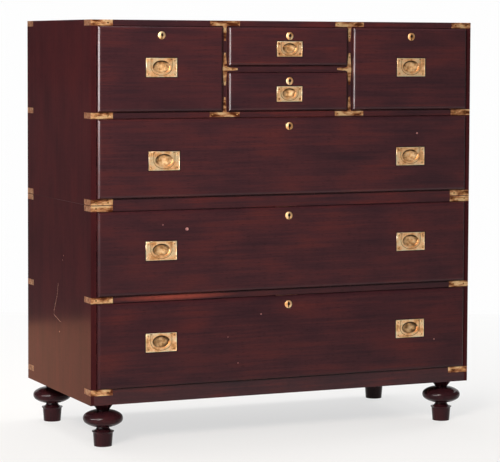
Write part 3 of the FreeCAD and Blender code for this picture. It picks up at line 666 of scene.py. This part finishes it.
@dataclass
class Handle:
    """One flush handle: the place of its plate, and the sizes that its trim follows.

    The groove is a dark line round the bail, painted shade of the gap there and dirt; the smears are dark
    brown marks above its pivots; and the arris is the plate's edge, paler as a painted highlight. skin is how
    far the lining lies inside the bowl.
    """

    name: str
    plate_wide: float
    plate_tall: float
    bowl_wide: float
    bowl_tall: float
    pivot: float
    bowl_rise: float = 1.5 * MM
    bowl_depth: float = 11.0 * MM
    bail_wide: float = 4.0 * MM
    ledge: float = 3.8 * MM
    screw_inset: float = 6.5 * MM
    groove_gap: float = 0.75 * MM
    groove_top: float = 1.8 * MM
    groove_wide: float = 1.3 * MM
    groove_high: float = 0.06 * MM
    smear_ends: tuple[float, float] = (-3.5 * MM, 2.5 * MM)
    smear_rise: float = 3.6 * MM
    smear_wide: float = 2.2 * MM
    smear_high: float = 0.05 * MM
    joint_out: float = 1.7 * MM
    joint_wide: float = 2.0 * MM
    joint_high: float = 0.06 * MM
    arris_wide: float = 1.6 * MM
    arris_high: float = 0.42 * MM
    skin: float = 0.3 * MM

    def middle(self) -> tuple[float, float]:
        """The middle (x, z) of the plate, worked out from the bail that hangs on it."""
        low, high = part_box(self.name)
        return (low[0] + high[0]) / 2, low[2] + self.bowl_tall / 2 + self.bail_wide - self.bowl_rise

    def screws(self) -> np.ndarray:
        """Places the four screws near the corners.

        Returns:
            Their middles, one row each.
        """
        x, z = self.middle()
        signs = np.array([[-1, -1], [1, -1], [1, 1], [-1, 1]], float)
        spots = signs * (np.array([self.plate_wide / 2, self.plate_tall / 2]) - self.screw_inset)
        return np.stack([spots[:, 0] + x, np.full(4, FACE), spots[:, 1] + z], axis=-1)

    def groove(self) -> Shape:
        """A dark line round the bail, painted shade of the gap there and dirt: straight down from the pivots
        and round the lower half of an ellipse.

        Returns:
            The open bead.
        """
        x, z = self.middle()
        wide = self.bowl_wide / 2 + self.bail_wide + self.groove_gap
        tall = self.bowl_tall / 2 + self.bail_wide + self.groove_gap
        top = self.pivot + self.groove_top
        turn = np.linspace(math.pi, 2.0 * math.pi, 25)
        bow = np.stack([wide * np.cos(turn), tall * np.sin(turn)], axis=-1)
        flat = np.concatenate([[[-wide, top]], bow, [[wide, top]]])
        step = unit_steps(flat)
        path = np.stack([flat[:, 0] + x, np.full(len(flat), FACE), flat[:, 1] + z + self.bowl_rise], axis=-1)
        across = np.stack([step[:, 1], np.zeros(len(flat)), -step[:, 0]], axis=-1)
        return bead(path, across, Facing.FRONT, self.groove_wide, self.groove_high, False)

    def pivots(self) -> list[Shape]:
        """Dark brown marks above the two pivots of the bail, where the bail swings clear of them.

        Returns:
            Two short thick beads.
        """
        x, z = self.middle()
        reach = self.bowl_wide / 2 + self.bail_wide
        level = np.array([x, FACE, z + self.bowl_rise + self.pivot + self.smear_rise])
        across = np.array([[0.0, 0.0, 1.0]] * 2)
        smears = []
        for side in (-1.0, 1.0):
            path = np.array([[side * (reach + end), 0.0, 0.0] for end in self.smear_ends]) + level
            smears.append(bead(path, across, Facing.FRONT, self.smear_wide, self.smear_high, False))
        return smears

    def joint(self) -> Shape:
        """Wax and painted shade in the joint round the plate."""
        wide, tall = self.plate_wide + self.joint_out, self.plate_tall + self.joint_out
        return oblong(*self.middle(), wide, tall, self.joint_wide, self.joint_high)

    def arris(self) -> Shape:
        """The plate's edge, slightly raised, in paler brass: rubbed metal and a painted highlight."""
        wide, tall = self.plate_wide - self.arris_wide, self.plate_tall - self.arris_wide
        return oblong(*self.middle(), wide, tall, self.arris_wide, self.arris_high)

    def lining(self, grime: float) -> tuple[Shape, np.ndarray]:
        """The inside of the bowl, browned under its upper edge as painted shade.

        The surface is half an ellipsoid, x = A cos p cos t, z = B cos p sin t and depth = D sin p, with t
        going round and p running from the rim to the bottom. The rim lies on the plate in the upper half, and
        under the bail's ledge in the lower half. The browning is painted shade in a crescent under the upper
        edge and in another one at the right, where it dims a reflection, and dirt in blots all over.

        Args:
            grime: how dark the whole bowl has become, from 0 to 1.

        Returns:
            The open surface, and its painted shade and tarnish from 0 to 1 at each point.
        """
        x, z = self.middle()
        t = np.linspace(0.0, 2.0 * math.pi, 48, endpoint=False)
        upper = np.clip((np.sin(t) - 0.10) / 0.15, 0.0, 1.0)
        rim = np.arcsin((self.ledge + 0.15 * MM) / self.bowl_depth) * (1.0 - upper) + 0.02 * upper
        p = rim[:, None] + (math.pi / 2 - rim[:, None]) * np.linspace(0.0, 0.985, 10)[None, :]
        right, up, deep = np.cos(p) * np.cos(t)[:, None], np.cos(p) * np.sin(t)[:, None], np.sin(p)
        points = np.stack([
            x + (self.bowl_wide / 2 - self.skin) * right,
            FACE + (self.bowl_depth - self.skin) * deep,
            z + self.bowl_rise + (self.bowl_tall / 2 - self.skin) * up], axis=-1)
        # Painted shade: a crescent under the upper edge, and one at the right that dims a reflection; blots
        # are dirt.
        above = np.clip(0.25 + 1.2 * np.cos(t - 1.85), 0.0, 1.0)[:, None]
        above = above * np.clip((0.80 - deep) / 0.3, 0.0, 0.92)
        aside = 0.7 * np.clip(np.cos(t + 0.1), 0.0, 1.0)[:, None] * np.clip((1.0 - deep) / 0.4, 0.0, 1.0)
        blots = grime * (0.6 + 0.4 * np.sin(5.0 * right + 2.0) * np.cos(6.0 * up))
        shade_and_age = np.clip(np.maximum(above, aside) + blots, 0.0, 0.95)
        around, rows = p.shape
        floor = (np.arange(around) * rows + rows - 1).tolist()
        faces = np.roll(quads(around, rows, True, False), -1, axis=1).tolist() + [floor]
        return Shape(points.reshape(-1, 3), faces, np.zeros(len(faces), int)), shade_and_age.reshape(-1)


@dataclass
class Drawers:
    """The seven drawers with their brasses, lock bolts, handles and the trim on their faces."""

    single: tuple[str, ...] = ("left_drawer", "upper_small_drawer", "lower_small_drawer", "right_drawer")
    double: tuple[str, ...] = ("upper_long_drawer", "middle_long_drawer", "bottom_long_drawer")
    front_gap: float = 1.0 * MM
    key_drop: float = 22.0 * MM
    key_ring: float = 10.0 * MM
    key_ring_wide: float = 1.2 * MM
    key_ring_high: float = 0.06 * MM
    key_seat: float = 9.5 * MM
    key_dome: float = 2.1 * MM
    key_round: float = 2.3 * MM
    key_slot: tuple[float, float] = (1.3 * MM, 8.2 * MM)
    key_thin: float = 0.12 * MM
    key_rim: float = 1.2 * MM
    # How far the painted shade round a keyhole reaches above its round part.
    key_shade_rise: float = 2.4 * MM
    key_film: float = 0.06 * MM
    key_depths: tuple[float, float] = (2.0 * MM, 7.0 * MM)
    lining_wall: float = 0.05 * MM
    plate_screw: Head = Head(2.4 * MM, 0.3 * MM, 0.35 * MM)
    lock_screw: Head = Head(2.0 * MM, 0.25 * MM, 0.3 * MM)
    lock_screw_aside: float = 23.0 * MM
    lock_screw_drops: tuple[float, float] = (27.0 * MM, 5.0 * MM)
    gloss: dict[str, float] = field(
        default_factory=lambda: {"middle_long_drawer": 0.21, "bottom_long_drawer": 0.15})
    grime: dict[str, float] = field(
        default_factory=lambda: {"middle_long_drawer": 0.2, "bottom_long_drawer": 0.5})

    def handles(self) -> dict[str, tuple[str, ...]]:
        """The bails of each drawer, by the drawer's name."""
        pairs = {name: (f"{name}_handle_left", f"{name}_handle_right") for name in self.double}
        return {name: (f"{name}_handle",) for name in self.single} | pairs

    def handle(self, name: str) -> Handle:
        """Gives one handle its trim sizes, large or small.

        Args:
            name: the name of its bail.

        Returns:
            The handle.
        """
        if "small" in name:
            return Handle(name, plate_wide=68 * MM, plate_tall=37 * MM, bowl_wide=37 * MM,
                          bowl_tall=25 * MM, pivot=12 * MM)
        return Handle(name, plate_wide=79 * MM, plate_tall=45 * MM, bowl_wide=45 * MM,
                      bowl_tall=31 * MM, pivot=15 * MM)

    def key_wax(self, name: str) -> Shape:
        """Wax and painted shade round one escutcheon: a ring of 32 steps.

        Args:
            name: the drawer's name.

        Returns:
            The closed bead.
        """
        turn = np.linspace(0.0, 2.0 * math.pi, 32, endpoint=False)
        out = np.stack([np.cos(turn), np.zeros(32), np.sin(turn)], axis=-1)
        path = self.key(name) + self.key_ring * out
        return bead(path, out, Facing.FRONT, self.key_ring_wide, self.key_ring_high, True)

    def key(self, name: str) -> np.ndarray:
        """The middle of the round part of one drawer's keyhole, on the drawer's face."""
        low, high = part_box(f"{name}_front")
        return np.array([(low[0] + high[0]) / 2, FACE, high[2] + self.front_gap - self.key_drop])

    def key_lining(self, name: str) -> Shape:
        """Painted shade round the rim of one keyhole, and on its walls and bottom.

        The keyhole's outline, a round hole with a straight slot under it, starts a little wider and higher on
        the dome h = sqrt(S S - r r) - (S - H), goes in at its own width to 7 mm under the drawer's face, and
        is closed there.

        Args:
            name: the drawer's name.

        Returns:
            The open cup.
        """
        half, drop = self.key_slot[0] - self.key_thin, self.key_slot[1] - self.key_thin
        radius = self.key_round - self.key_thin
        start = math.asin(half / radius) - math.pi / 2
        turn = np.linspace(start, math.pi - start, 21)
        arc = np.stack([np.cos(turn), np.sin(turn)], axis=-1)
        ring = np.concatenate([arc * radius, [[-half, -drop], [half, -drop]]])
        out = np.concatenate([arc, [[-0.8, -0.5], [0.8, -0.5]]])
        out[[0, -3]] = [[0.8, 0.0], [-0.8, 0.0]]
        wide = ring + self.key_rim * out + np.array([0.0, self.key_shade_rise]) * np.clip(out[:, 1:], 0.0, 1.0)
        sphere = (self.key_seat**2 + self.key_dome**2) / (2.0 * self.key_dome)
        rims = np.stack([wide, (wide + ring) / 2, ring])
        dome = np.sqrt(sphere**2 - np.sum(rims**2, axis=-1)) - sphere + self.key_dome
        flat = np.concatenate([rims, [ring, ring]])
        count = len(ring)
        depth = np.concatenate([-dome - self.key_film, [[deep] * count for deep in self.key_depths]])
        points = np.stack([flat[..., 0], depth, flat[..., 1]], axis=-1) + self.key(name)
        faces = quads(5, count, False, True)[:, [0, 3, 2, 1]].tolist() + [list(range(4 * count, 5 * count))]
        return Shape(points.reshape(-1, 3), faces, np.zeros(len(faces), int))

    def dress(self) -> None:
        """Gives every front, box and brass its finish."""
        cedar = BareCedar("cedar_planed_deep", Grain.DEEP).material()
        plates = AgedBrass("brass_aged_plates").material()
        bails = AgedBrass("brass_aged_bails", bright="#ffe0b0", dull="#f8c894", rough=0.47).material()
        for board, (name, handles) in enumerate(self.handles().items(), 1):
            front, gloss = f"mahogany_french_polished_front_{board}", self.gloss.get(name, 0.25)
            dress(f"{name}_front", FrenchPolishedMahogany(front, Grain.ACROSS, board, gloss=gloss).material())
            dress(f"{name}_box", cedar)
            for part in ("brasses", "lock_bolt"):
                dress(f"{name}_{part}", plates)
            for handle in handles:
                dress(handle, bails)

    def trim(self) -> None:
        """Adds screws, plate edges with a painted highlight, bowl linings with painted shade, and wax, dirt
        and painted shade round the brasses and in the keyholes, to every drawer.
        """
        wax = OldWaxAndShade("wax_and_shade_in_joints").material()
        # Dark brown for the lines round the bails, painted shade of the gap and dirt, and the marks above the
        # pivots.
        dried = OldWaxAndShade("polish_dried_brown_and_gap_shade", dark="#6b4526", dusty="#96703f").material()
        browned = AgedBrass(
            "brass_browned_screws", bright="#b98a55", dull="#94683b", brown="#6a4526").material()
        rubbed = AgedBrass(
            "brass_rubbed_screws", bright="#efc995", dull="#dab07a", brown="#b28651").material()
        # Paler brass on the plates' edges: rubbed metal and a painted highlight.
        edges = AgedBrass(
            "brass_rubbed_edges_painted_highlight", bright="#fff0d6", dull="#fce3be", brown="#ecc795", rough=0.40).material()
        # The bowls are browned by the lining's point attribute: painted shade and dirt.
        bowls = AgedBrass(
            "brass_bowls_shade_and_tarnish", bright="#e6caa0", dull="#d6b384", brown="#a98459", patch_mm=9.0,
            rough=0.72, shade_and_tarnish="shade_and_tarnish").material()
        for number, (name, handles) in enumerate(self.handles().items()):
            sets = [self.handle(handle) for handle in handles]
            spots = np.concatenate([one.screws() for one in sets])
            turns = 0.9 * np.arange(len(spots)) + 1.7 * number
            # The floors of the slots are wax and painted shade.
            screws = heads(spots, Facing.FRONT, turns, self.plate_screw)
            screws.piece(f"{name}_screws", name, "brass", [browned if "small" in name else rubbed, wax])
            Shape.merged([one.arris() for one in sets]).piece(f"{name}_plate_edges", name, "brass", [edges])
            # Wax and painted shade in the joints round the plates and the escutcheon.
            lines = [one.joint() for one in sets] + [self.key_wax(name)]
            Shape.merged(lines).piece(f"{name}_wax", name, "mahogany", [wax])
            # Painted shade of the gap round each bail, with dirt, and dark brown marks above the pivots.
            dirt = [shape for one in sets for shape in (one.groove(), *one.pivots())]
            Shape.merged(dirt).piece(f"{name}_handle_gap_shade_and_dirt", name, "brass", [dried])
            shapes, shades_and_ages = zip(*(one.lining(self.grime.get(name, 0.08)) for one in sets))
            bowl = Shape.merged(list(shapes)).piece(
                f"{name}_bowl_linings", name, "brass", [bowls], shade_and_tarnish=np.concatenate(shades_and_ages))
            # The keyhole lining is painted shade, in the dark wax finish.
            keyhole = self.key_lining(name).piece(
                f"{name}_keyhole_lining", name, "brass", [wax], smooth=False)
            for lining in (bowl, keyhole):
                wall = lining.modifiers.new("wall", "SOLIDIFY")
                wall.thickness, wall.offset = self.lining_wall, -1.0

    def lock_screws(self) -> None:
        """Adds four small screws to the back of every lock."""
        brass = AgedBrass(
            "brass_aged_lock_screws", bright="#c79a62", dull="#a27845", brown="#6f4a2a").material()
        # Wax and painted shade on the floors of the slots.
        wax = OldWaxAndShade("wax_and_shade_in_slots").material()
        aside, (lower, upper) = self.lock_screw_aside, self.lock_screw_drops
        for name in self.handles():
            low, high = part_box(f"{name}_front")
            x = (low[0] + high[0]) / 2 + np.array([-aside, aside, aside, -aside])
            z = high[2] - np.array([lower, lower, upper, upper])
            spots = np.stack([x, np.full(4, high[1]), z], axis=-1)
            screws = heads(spots, Facing.BACK, np.array([0.3, 1.9, 0.8, 2.6]), self.lock_screw)
            screws.piece(f"{name}_lock_screws", name, "brass", [brass, wax])

    def build(self) -> None:
        """Dresses and trims the drawers."""
        self.dress()
        self.trim()
        self.lock_screws()


@dataclass
class Case:
    """Both carcass sections with their boards, straps, feet and the screws that hold them.

    Each leg of a strap has two screws, so far in from the corner that it is bent round.
    """

    across: tuple[str, ...] = (
        "lower_top", "lower_bottom", "bottom_rail", "upper_top", "upper_shelf", "upper_bottom", "small_shelf")
    backs: tuple[str, ...] = ("lower_back_boards", "upper_back_boards", "locating_pegs")
    blocks: tuple[str, ...] = ("foot_blocks", "lower_drawer_stops", "upper_drawer_stops")
    straps: tuple[str, ...] = ("lower_straps", "upper_straps")
    sides: tuple[str, ...] = ("lower_side_left", "lower_side_right", "upper_side_left", "upper_side_right")
    front_screw: Head = Head(2.4 * MM, 0.25 * MM, 0.32 * MM)
    other_screw: Head = Head(2.4 * MM, 0.1 * MM, 0.32 * MM)
    tee_screw: Head = Head(1.7 * MM, 0.25 * MM, 0.28 * MM)
    board_screw: Head = Head(3.2 * MM, 0.1 * MM, 0.4 * MM)
    front_leg: tuple[float, float] = (13.0 * MM, 43.0 * MM)
    back_leg: tuple[float, float] = (12.0 * MM, 31.0 * MM)
    side_leg: tuple[float, float] = (15.0 * MM, 37.0 * MM)
    tee_inset: float = 6.5 * MM
    tee_bar: float = 32.0 * MM
    tee_stem: float = 29.0 * MM
    tee_arm: float = 20.0 * MM
    boards: int = 5
    board_shares: tuple[float, float] = (0.22, 0.78)
    board_end: float = 30.0 * MM
    joint_end: float = 46.0 * MM
    joint_wide: float = 0.9 * MM
    joint_high: float = 0.03 * MM

    def dress(self) -> None:
        """Gives every board, strap and foot its finish."""
        polish = "mahogany_french_polished"
        levels = FrenchPolishedMahogany(f"{polish}_across", Grain.ACROSS, red="#52201e").material()
        boards = BareCedar("cedar_planed_upright", Grain.UPRIGHT).material()
        blocks = BareCedar("cedar_planed_across", Grain.ACROSS).material()
        # The straps' faces that look left or right get a browner colour as painted shade.
        brass = AgedBrass(
            "brass_aged_straps_shaded_sides", bright="#fed7a2", dull="#cc9062", brown="#62331d", patch_mm=11.0, spots=0.11,
            sides="#8d5a3c", rolled=0.35).material()
        groups = ((self.across, levels), (self.backs, boards), (self.blocks, blocks), (self.straps, brass))
        for names, material in groups:
            for name in names:
                dress(name, material)
        # The rail between the two lower rows gets a painted highlight, a lens of lighter red at its left.
        rail = FrenchPolishedMahogany(f"{polish}_rail_painted_sheen", Grain.ACROSS, 9.0, painted_sheen=(-0.295, 0.3555))
        dress("lower_shelf", rail.material())
        feet = FrenchPolishedMahogany(
            f"{polish}_feet", Grain.UPRIGHT, 4.0, dark="#200f13", body="#2e1419", red="#3b191b", gloss=0.12)
        dress("feet", feet.material())
        dress("partitions", FrenchPolishedMahogany(f"{polish}_partitions", Grain.UPRIGHT, 5.0).material())
        for board, name in enumerate(self.sides, 11):
            side = FrenchPolishedMahogany(
                f"{polish}_{name}", Grain.UPRIGHT, board, dark="#2f1417", body="#38181b", red="#411b1c",
                gloss=0.005, rough=(0.14, 0.10))
            dress(name, side.material())

    def strap_spots(self, section: str) -> dict[Facing, np.ndarray]:
        """Places the screws of the corner straps of one section.

        Args:
            section: "lower" or "upper".

        Returns:
            For each way that they face, their middles.
        """
        boxes = [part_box(f"{section}_{board}") for board in ("bottom", "shelf", "top")]
        z = np.array([(low[2] + high[2]) / 2 for low, high in boxes])
        front = np.array([[SIDE - inset, FRONT] for inset in self.front_leg])
        back = np.array([[SIDE - inset, BACK] for inset in self.back_leg])
        depths = [FRONT + inset for inset in self.side_leg] + [BACK - inset for inset in self.side_leg]
        side = np.array([[SIDE, depth] for depth in depths])
        legs = {Facing.FRONT: (front, (-1.0, 1.0)), Facing.BACK: (back, (-1.0, 1.0)),
                Facing.LEFT: (side, (-1.0,)), Facing.RIGHT: (side, (1.0,))}
        spots = {}
        for facing, (flat, signs) in legs.items():
            both = np.concatenate([flat * np.array([sign, 1.0]) for sign in signs])
            rows = [np.column_stack([both, np.full(len(both), level)]) for level in z]
            spots[facing] = np.concatenate(rows)
        return spots

    def tee_spots(self) -> np.ndarray:
        """Places the screws of the six T straps: two on each bar and one on each stem.

        Returns:
            Their middles, one row each.
        """
        low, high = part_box("partitions")
        x = (high[0] - low[0]) / 2 - self.tee_inset
        boxes = [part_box(name) for name in ("upper_top", "upper_shelf", "small_shelf")]
        top, foot, middle = ((box[0][2] + box[1][2]) / 2 for box in boxes)
        bar, stem, arm = self.tee_bar, self.tee_stem, self.tee_arm
        flat = np.array([
            [-bar, 0.0, top], [bar, 0.0, top], [0.0, -stem, top],
            [-bar, 0.0, foot], [bar, 0.0, foot], [0.0, stem, foot],
            [0.0, -stem, middle], [0.0, stem, middle], [-arm, 0.0, middle]])
        both = np.concatenate([
            flat * np.array([side, 1.0, 1.0]) + np.array([side * x, 0.0, 0.0]) for side in (-1.0, 1.0)])
        return np.column_stack([both[:, 0], np.full(len(both), FRONT), both[:, 1] + both[:, 2]])

    def board_spots(self, section: str) -> np.ndarray:
        """Places the screws at both ends of the back boards of one section.

        Args:
            section: "lower" or "upper".

        Returns:
            Their middles, one row each.
        """
        low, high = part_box(f"{section}_back_boards")
        steps = np.arange(self.boards)[:, None] + np.array([self.board_shares])
        x = low[0] + (high[0] - low[0]) * steps / self.boards
        z = np.array([low[2] + self.board_end, high[2] - self.board_end])
        grid = np.stack(np.meshgrid(x.reshape(-1), z, indexing="ij"), axis=-1).reshape(-1, 2)
        return np.column_stack([grid[:, 0], np.full(len(grid), high[1]), grid[:, 1]])

    def screws(self) -> None:
        """Puts the screws on the straps and on the back boards."""
        brass = AgedBrass(
            "brass_aged_strap_screws", bright="#c79a62", dull="#9c7040", brown="#6a4526").material()
        iron = AgedBrass(
            "iron_browned_screws", bright="#5a4a40", dull="#43362e", brown="#2c211b", rough=0.55).material()
        # Wax and painted shade on the floors of the slots.
        wax = OldWaxAndShade("wax_and_shade_in_screws").material()
        for section in ("lower", "upper"):
            shapes = []
            for number, (facing, spots) in enumerate(self.strap_spots(section).items()):
                head = self.front_screw if facing is Facing.FRONT else self.other_screw
                shapes.append(heads(spots, facing, 1.1 * np.arange(len(spots)) + number, head))
            if section == "upper":
                spots = self.tee_spots()
                shapes.append(heads(spots, Facing.FRONT, 0.8 * np.arange(len(spots)), self.tee_screw))
            Shape.merged(shapes).piece(f"{section}_strap_screws", f"{section}_case", "brass", [brass, wax])
            spots = self.board_spots(section)
            screws = heads(spots, Facing.BACK, 0.7 * np.arange(len(spots)), self.board_screw)
            screws.piece(f"{section}_back_screws", f"{section}_case", "brass", [iron, wax])

    def joint_lines(self) -> None:
        """Lays the line of wax and painted shade where the two sections meet on each side."""
        wax = OldWaxAndShade("wax_and_shade_in_case_joint", dark="#1c0c0c", dusty="#3a211b").material()
        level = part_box("lower_top")[1][2]
        across = np.array([[0.0, 0.0, 1.0]] * 2)
        ends = (FRONT + self.joint_end, BACK - self.joint_end)
        shapes = []
        for facing in (Facing.LEFT, Facing.RIGHT):
            path = np.array([[facing.value[0] * SIDE, end, level] for end in ends])
            shapes.append(bead(path, across, facing, self.joint_wide, self.joint_high, False))
        Shape.merged(shapes).piece("case_joint_wax_and_shade", "lower_case", "mahogany", [wax])

    def build(self) -> None:
        """Dresses the case and adds its screws and joint lines."""
        self.dress()
        self.screws()
        self.joint_lines()


@dataclass
class Wear:
    """The long scratch on the left side and the chips in the polish of the fronts.

    scratch_mm has (y, z) points on the side, side_chips_mm has (y, z, radius) and chips_mm (x, z, radius).
    """

    scratch_mm: tuple[tuple[float, float], ...] = (
        (4.5, 372.7), (14.4, 339.6), (35.8, 302.7), (37.4, 291.3), (7.2, 283.8), (-13.8, 278.9))
    side_chips_mm: tuple[Point, ...] = ((-3.9, 254.3, 1.8), (-34.5, 443.9, 1.2), (-27.0, 432.2, 1.0))
    chips_mm: dict[str, tuple[Point, ...]] = field(default_factory=lambda: {
        "upper_long_drawer": ((351.9, 738.3, 2.2),),
        "middle_long_drawer": ((-268.2, 517.3, 4.2), (-329.8, 528.8, 1.3)),
        "bottom_long_drawer": (
            (-73.4, 304.1, 1.8), (405.9, 217.9, 1.5), (-133.9, 187.7, 1.3), (-160.6, 252.5, 1.1))})
    scratch_wide: float = 1.1 * MM
    side_high: float = 0.03 * MM
    chip_high: float = 0.05 * MM

    def build(self) -> None:
        """Adds the scratch and the chips."""
        bare = ChippedPolish("mahogany_bare_scratched").material()
        pink = ChippedPolish("mahogany_bare_chipped", pale="#b5807a", deep="#85555a").material()
        flat = np.array(self.scratch_mm) * MM
        path = np.column_stack([np.full(len(flat), -SIDE), flat])
        step = unit_steps(flat)
        across = np.column_stack([np.zeros(len(flat)), -step[:, 1], step[:, 0]])
        marks = [bead(path, across, Facing.LEFT, self.scratch_wide, self.side_high, False)]
        for y, z, radius in self.side_chips_mm:
            middle = np.array([[-SIDE, y * MM, z * MM]])
            marks.append(heads(middle, Facing.LEFT, np.zeros(1), Head(radius * MM, self.side_high)))
        Shape.merged(marks).piece("left_side_scratch", "lower_case", "mahogany", [bare])
        for name, spots in self.chips_mm.items():
            chips = []
            for x, z, radius in spots:
                middle = np.array([[x * MM, FACE, z * MM]])
                chips.append(heads(middle, Facing.FRONT, np.zeros(1), Head(radius * MM, self.chip_high)))
            Shape.merged(chips).piece(f"{name}_chips", name, "mahogany", [pink])


@dataclass
class Studio:
    """Pale floor, a white sheet behind, soft lamps, a dim even room and the photograph's camera."""

    camera_at: Point = (-2.2102, -4.9503, 0.9570)
    yaw: float = 24.085
    pitch: float = 3.587
    roll: float = 0.238
    lens: float = 154.32
    shift_y: float = -0.1042
    floor_reach: float = 40.0
    sheet_away: float = 7.6
    sheet_ends: tuple[float, float] = (-2.4, 2.2)
    sheet_tall: float = 2.4
    low_lamp_on: tuple[str, ...] = ("lower_side_left", "upper_side_left")

    def camera(self) -> None:
        """Sets the camera where the photograph was taken from."""
        data = bpy.data.cameras.new("camera")
        data.lens, data.sensor_width, data.shift_y, data.clip_end = self.lens, 36.0, self.shift_y, 100.0
        turn = Matrix.Translation(self.camera_at)
        for angle, axis in ((-self.yaw, "Z"), (90 - self.pitch, "X"), (self.roll, "Z")):
            turn = turn @ Matrix.Rotation(math.radians(angle), 4, axis)
        eye = place("camera", data)
        eye.matrix_world = turn
        bpy.context.scene.camera = eye

    def lamp(self, name: str, at: Point, to: Point, size: tuple[float, float], watts: float,
             colour: str = "#ffffff", spread: float = 180.0) -> bpy.types.Object:
        """Hangs one softbox.

        Args:
            name: the lamp's name.
            at: where it hangs.
            to: the point it faces.
            size: width and height of its front.
            watts: its power.
            colour: its light.
            spread: how wide it shines, in degrees.

        Returns:
            The lamp.
        """
        data = bpy.data.lights.new(name, "AREA")
        data.shape, data.size, data.size_y = "RECTANGLE", *size
        data.energy, data.color, data.spread = watts, linear(colour)[:3], math.radians(spread)
        aim = np.subtract(to, at)
        back = -aim / np.linalg.norm(aim)
        right = np.cross((0.0, 0.0, 1.0) if abs(back[2]) < 0.99 else (0.0, 1.0, 0.0), back)
        right /= np.linalg.norm(right)
        turn = np.eye(4)
        turn[:3, 0], turn[:3, 1], turn[:3, 2], turn[:3, 3] = right, np.cross(back, right), back, at
        box = place(name, data)
        box.matrix_world = Matrix(turn.tolist())
        return box

    def stage(self, name: str, points: np.ndarray, face: list[int], material: Material) -> None:
        """Sets up one flat piece of the room.

        Args:
            name: its name.
            points: its corners.
            face: the order of the corners.
            material: its finish.
        """
        mesh = bpy.data.meshes.new(name)
        mesh.from_pydata(points.tolist(), [], [face])
        mesh.materials.append(material)
        made = place(name, mesh)

    def floor(self) -> None:
        """Lays the floor."""
        paint = FloorPaint("floor_matt_white_paint", math.radians(self.yaw)).material()
        reach = np.array([-self.floor_reach, self.floor_reach])
        x, y = np.meshgrid(reach, reach, indexing="ij")
        corners = np.stack([x, y, np.zeros_like(x)], axis=-1).reshape(-1, 3)
        self.stage("floor", corners, [0, 2, 3, 1], paint)

    def sheet(self) -> None:
        """Hangs the sheet square to the camera."""
        yaw = math.radians(self.yaw)
        ahead = np.array([math.sin(yaw), math.cos(yaw), 0.0])
        right = np.array([math.cos(yaw), -math.sin(yaw), 0.0])
        foot = np.array([*self.camera_at[:2], 0.0]) + self.sheet_away * ahead
        middle = foot + sum(self.sheet_ends) / 2 * right
        white = WhiteSheet("backdrop_white_sheet", yaw, tuple(middle.tolist())).material()
        low = [foot + end * right for end in self.sheet_ends]
        up = np.array([0.0, 0.0, self.sheet_tall])
        self.stage("backdrop", np.array([*low, low[1] + up, low[0] + up]), [0, 1, 2, 3], white)

    def air(self) -> None:
        """Sets the even light of the room."""
        world = bpy.data.worlds.new("room")
        world.use_nodes = True
        world.node_tree.nodes.clear()
        glow = add(world.node_tree, "Background", {"Color": linear("#f6f3f1"), "Strength": 0.23})
        add(world.node_tree, "OutputWorld", {"Surface": glow})
        bpy.context.scene.world = world

    def lamps(self) -> None:
        """Hangs the lamps.

        The strip beside the chest only shows as the pale line on rounded edges, as a gridded strip lamp does.
        The warm low lamp lies on the floor behind the left corner, and only shows low down in the polish of
        the left side.
        """
        self.lamp("lamp_over", (-0.6, 1.0, 4.0), (0.0, 0.9, 0.0), (2.4, 3.0), 46.0, spread=110.0)
        self.lamp("lamp_left", (-2.8, -1.5, 2.6), (-0.45, 0.0, 0.6), (1.2, 1.2), 20.5, "#fffaf4")
        self.lamp("lamp_front", (-2.4, -3.0, 2.3), (-0.15, -0.2, 1.0), (1.4, 1.0), 30.0, "#fff6ee", 60.0)
        self.lamp("lamp_right", (3.2, 0.8, 3.0), (0.5, 0.1, 0.5), (1.4, 1.4), 22.0, spread=120.0)
        strip = self.lamp(
            "lamp_strip", (-2.75, -1.25, 0.89), (-0.5, -0.24, 0.86), (2.6, 0.44), 160.0, "#f6f0f0")
        low = self.lamp(
            "lamp_low", (-0.92, 1.075, 0.02), (-0.92, 1.075, 1.0), (0.8, 1.65), 23.5, "#ffac7e")
        for one in (strip, low):
            one.visible_diffuse = False
        low.visible_camera = False
        flag = bpy.data.collections.new("lamp_low_receives")
        for name in self.low_lamp_on:
            flag.objects.link(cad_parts[name])
        low.light_linking.receiver_collection = flag

    def build(self) -> None:
        """Puts the room, the lamps and the camera in place."""
        self.floor()
        self.sheet()
        self.air()
        self.lamps()
        self.camera()
        bpy.context.scene.view_settings.view_transform = "Standard"
        LOG.info("studio: floor, sheet, lamps and camera")


def main() -> None:
    """Dresses the chest piece by piece and sets the studio round it."""
    logging.basicConfig(level=logging.INFO, format="%(name)s: %(message)s")
    Case().build()
    Drawers().build()
    Wear().build()
    Studio().build()


if __name__ == "__main__":
    main()
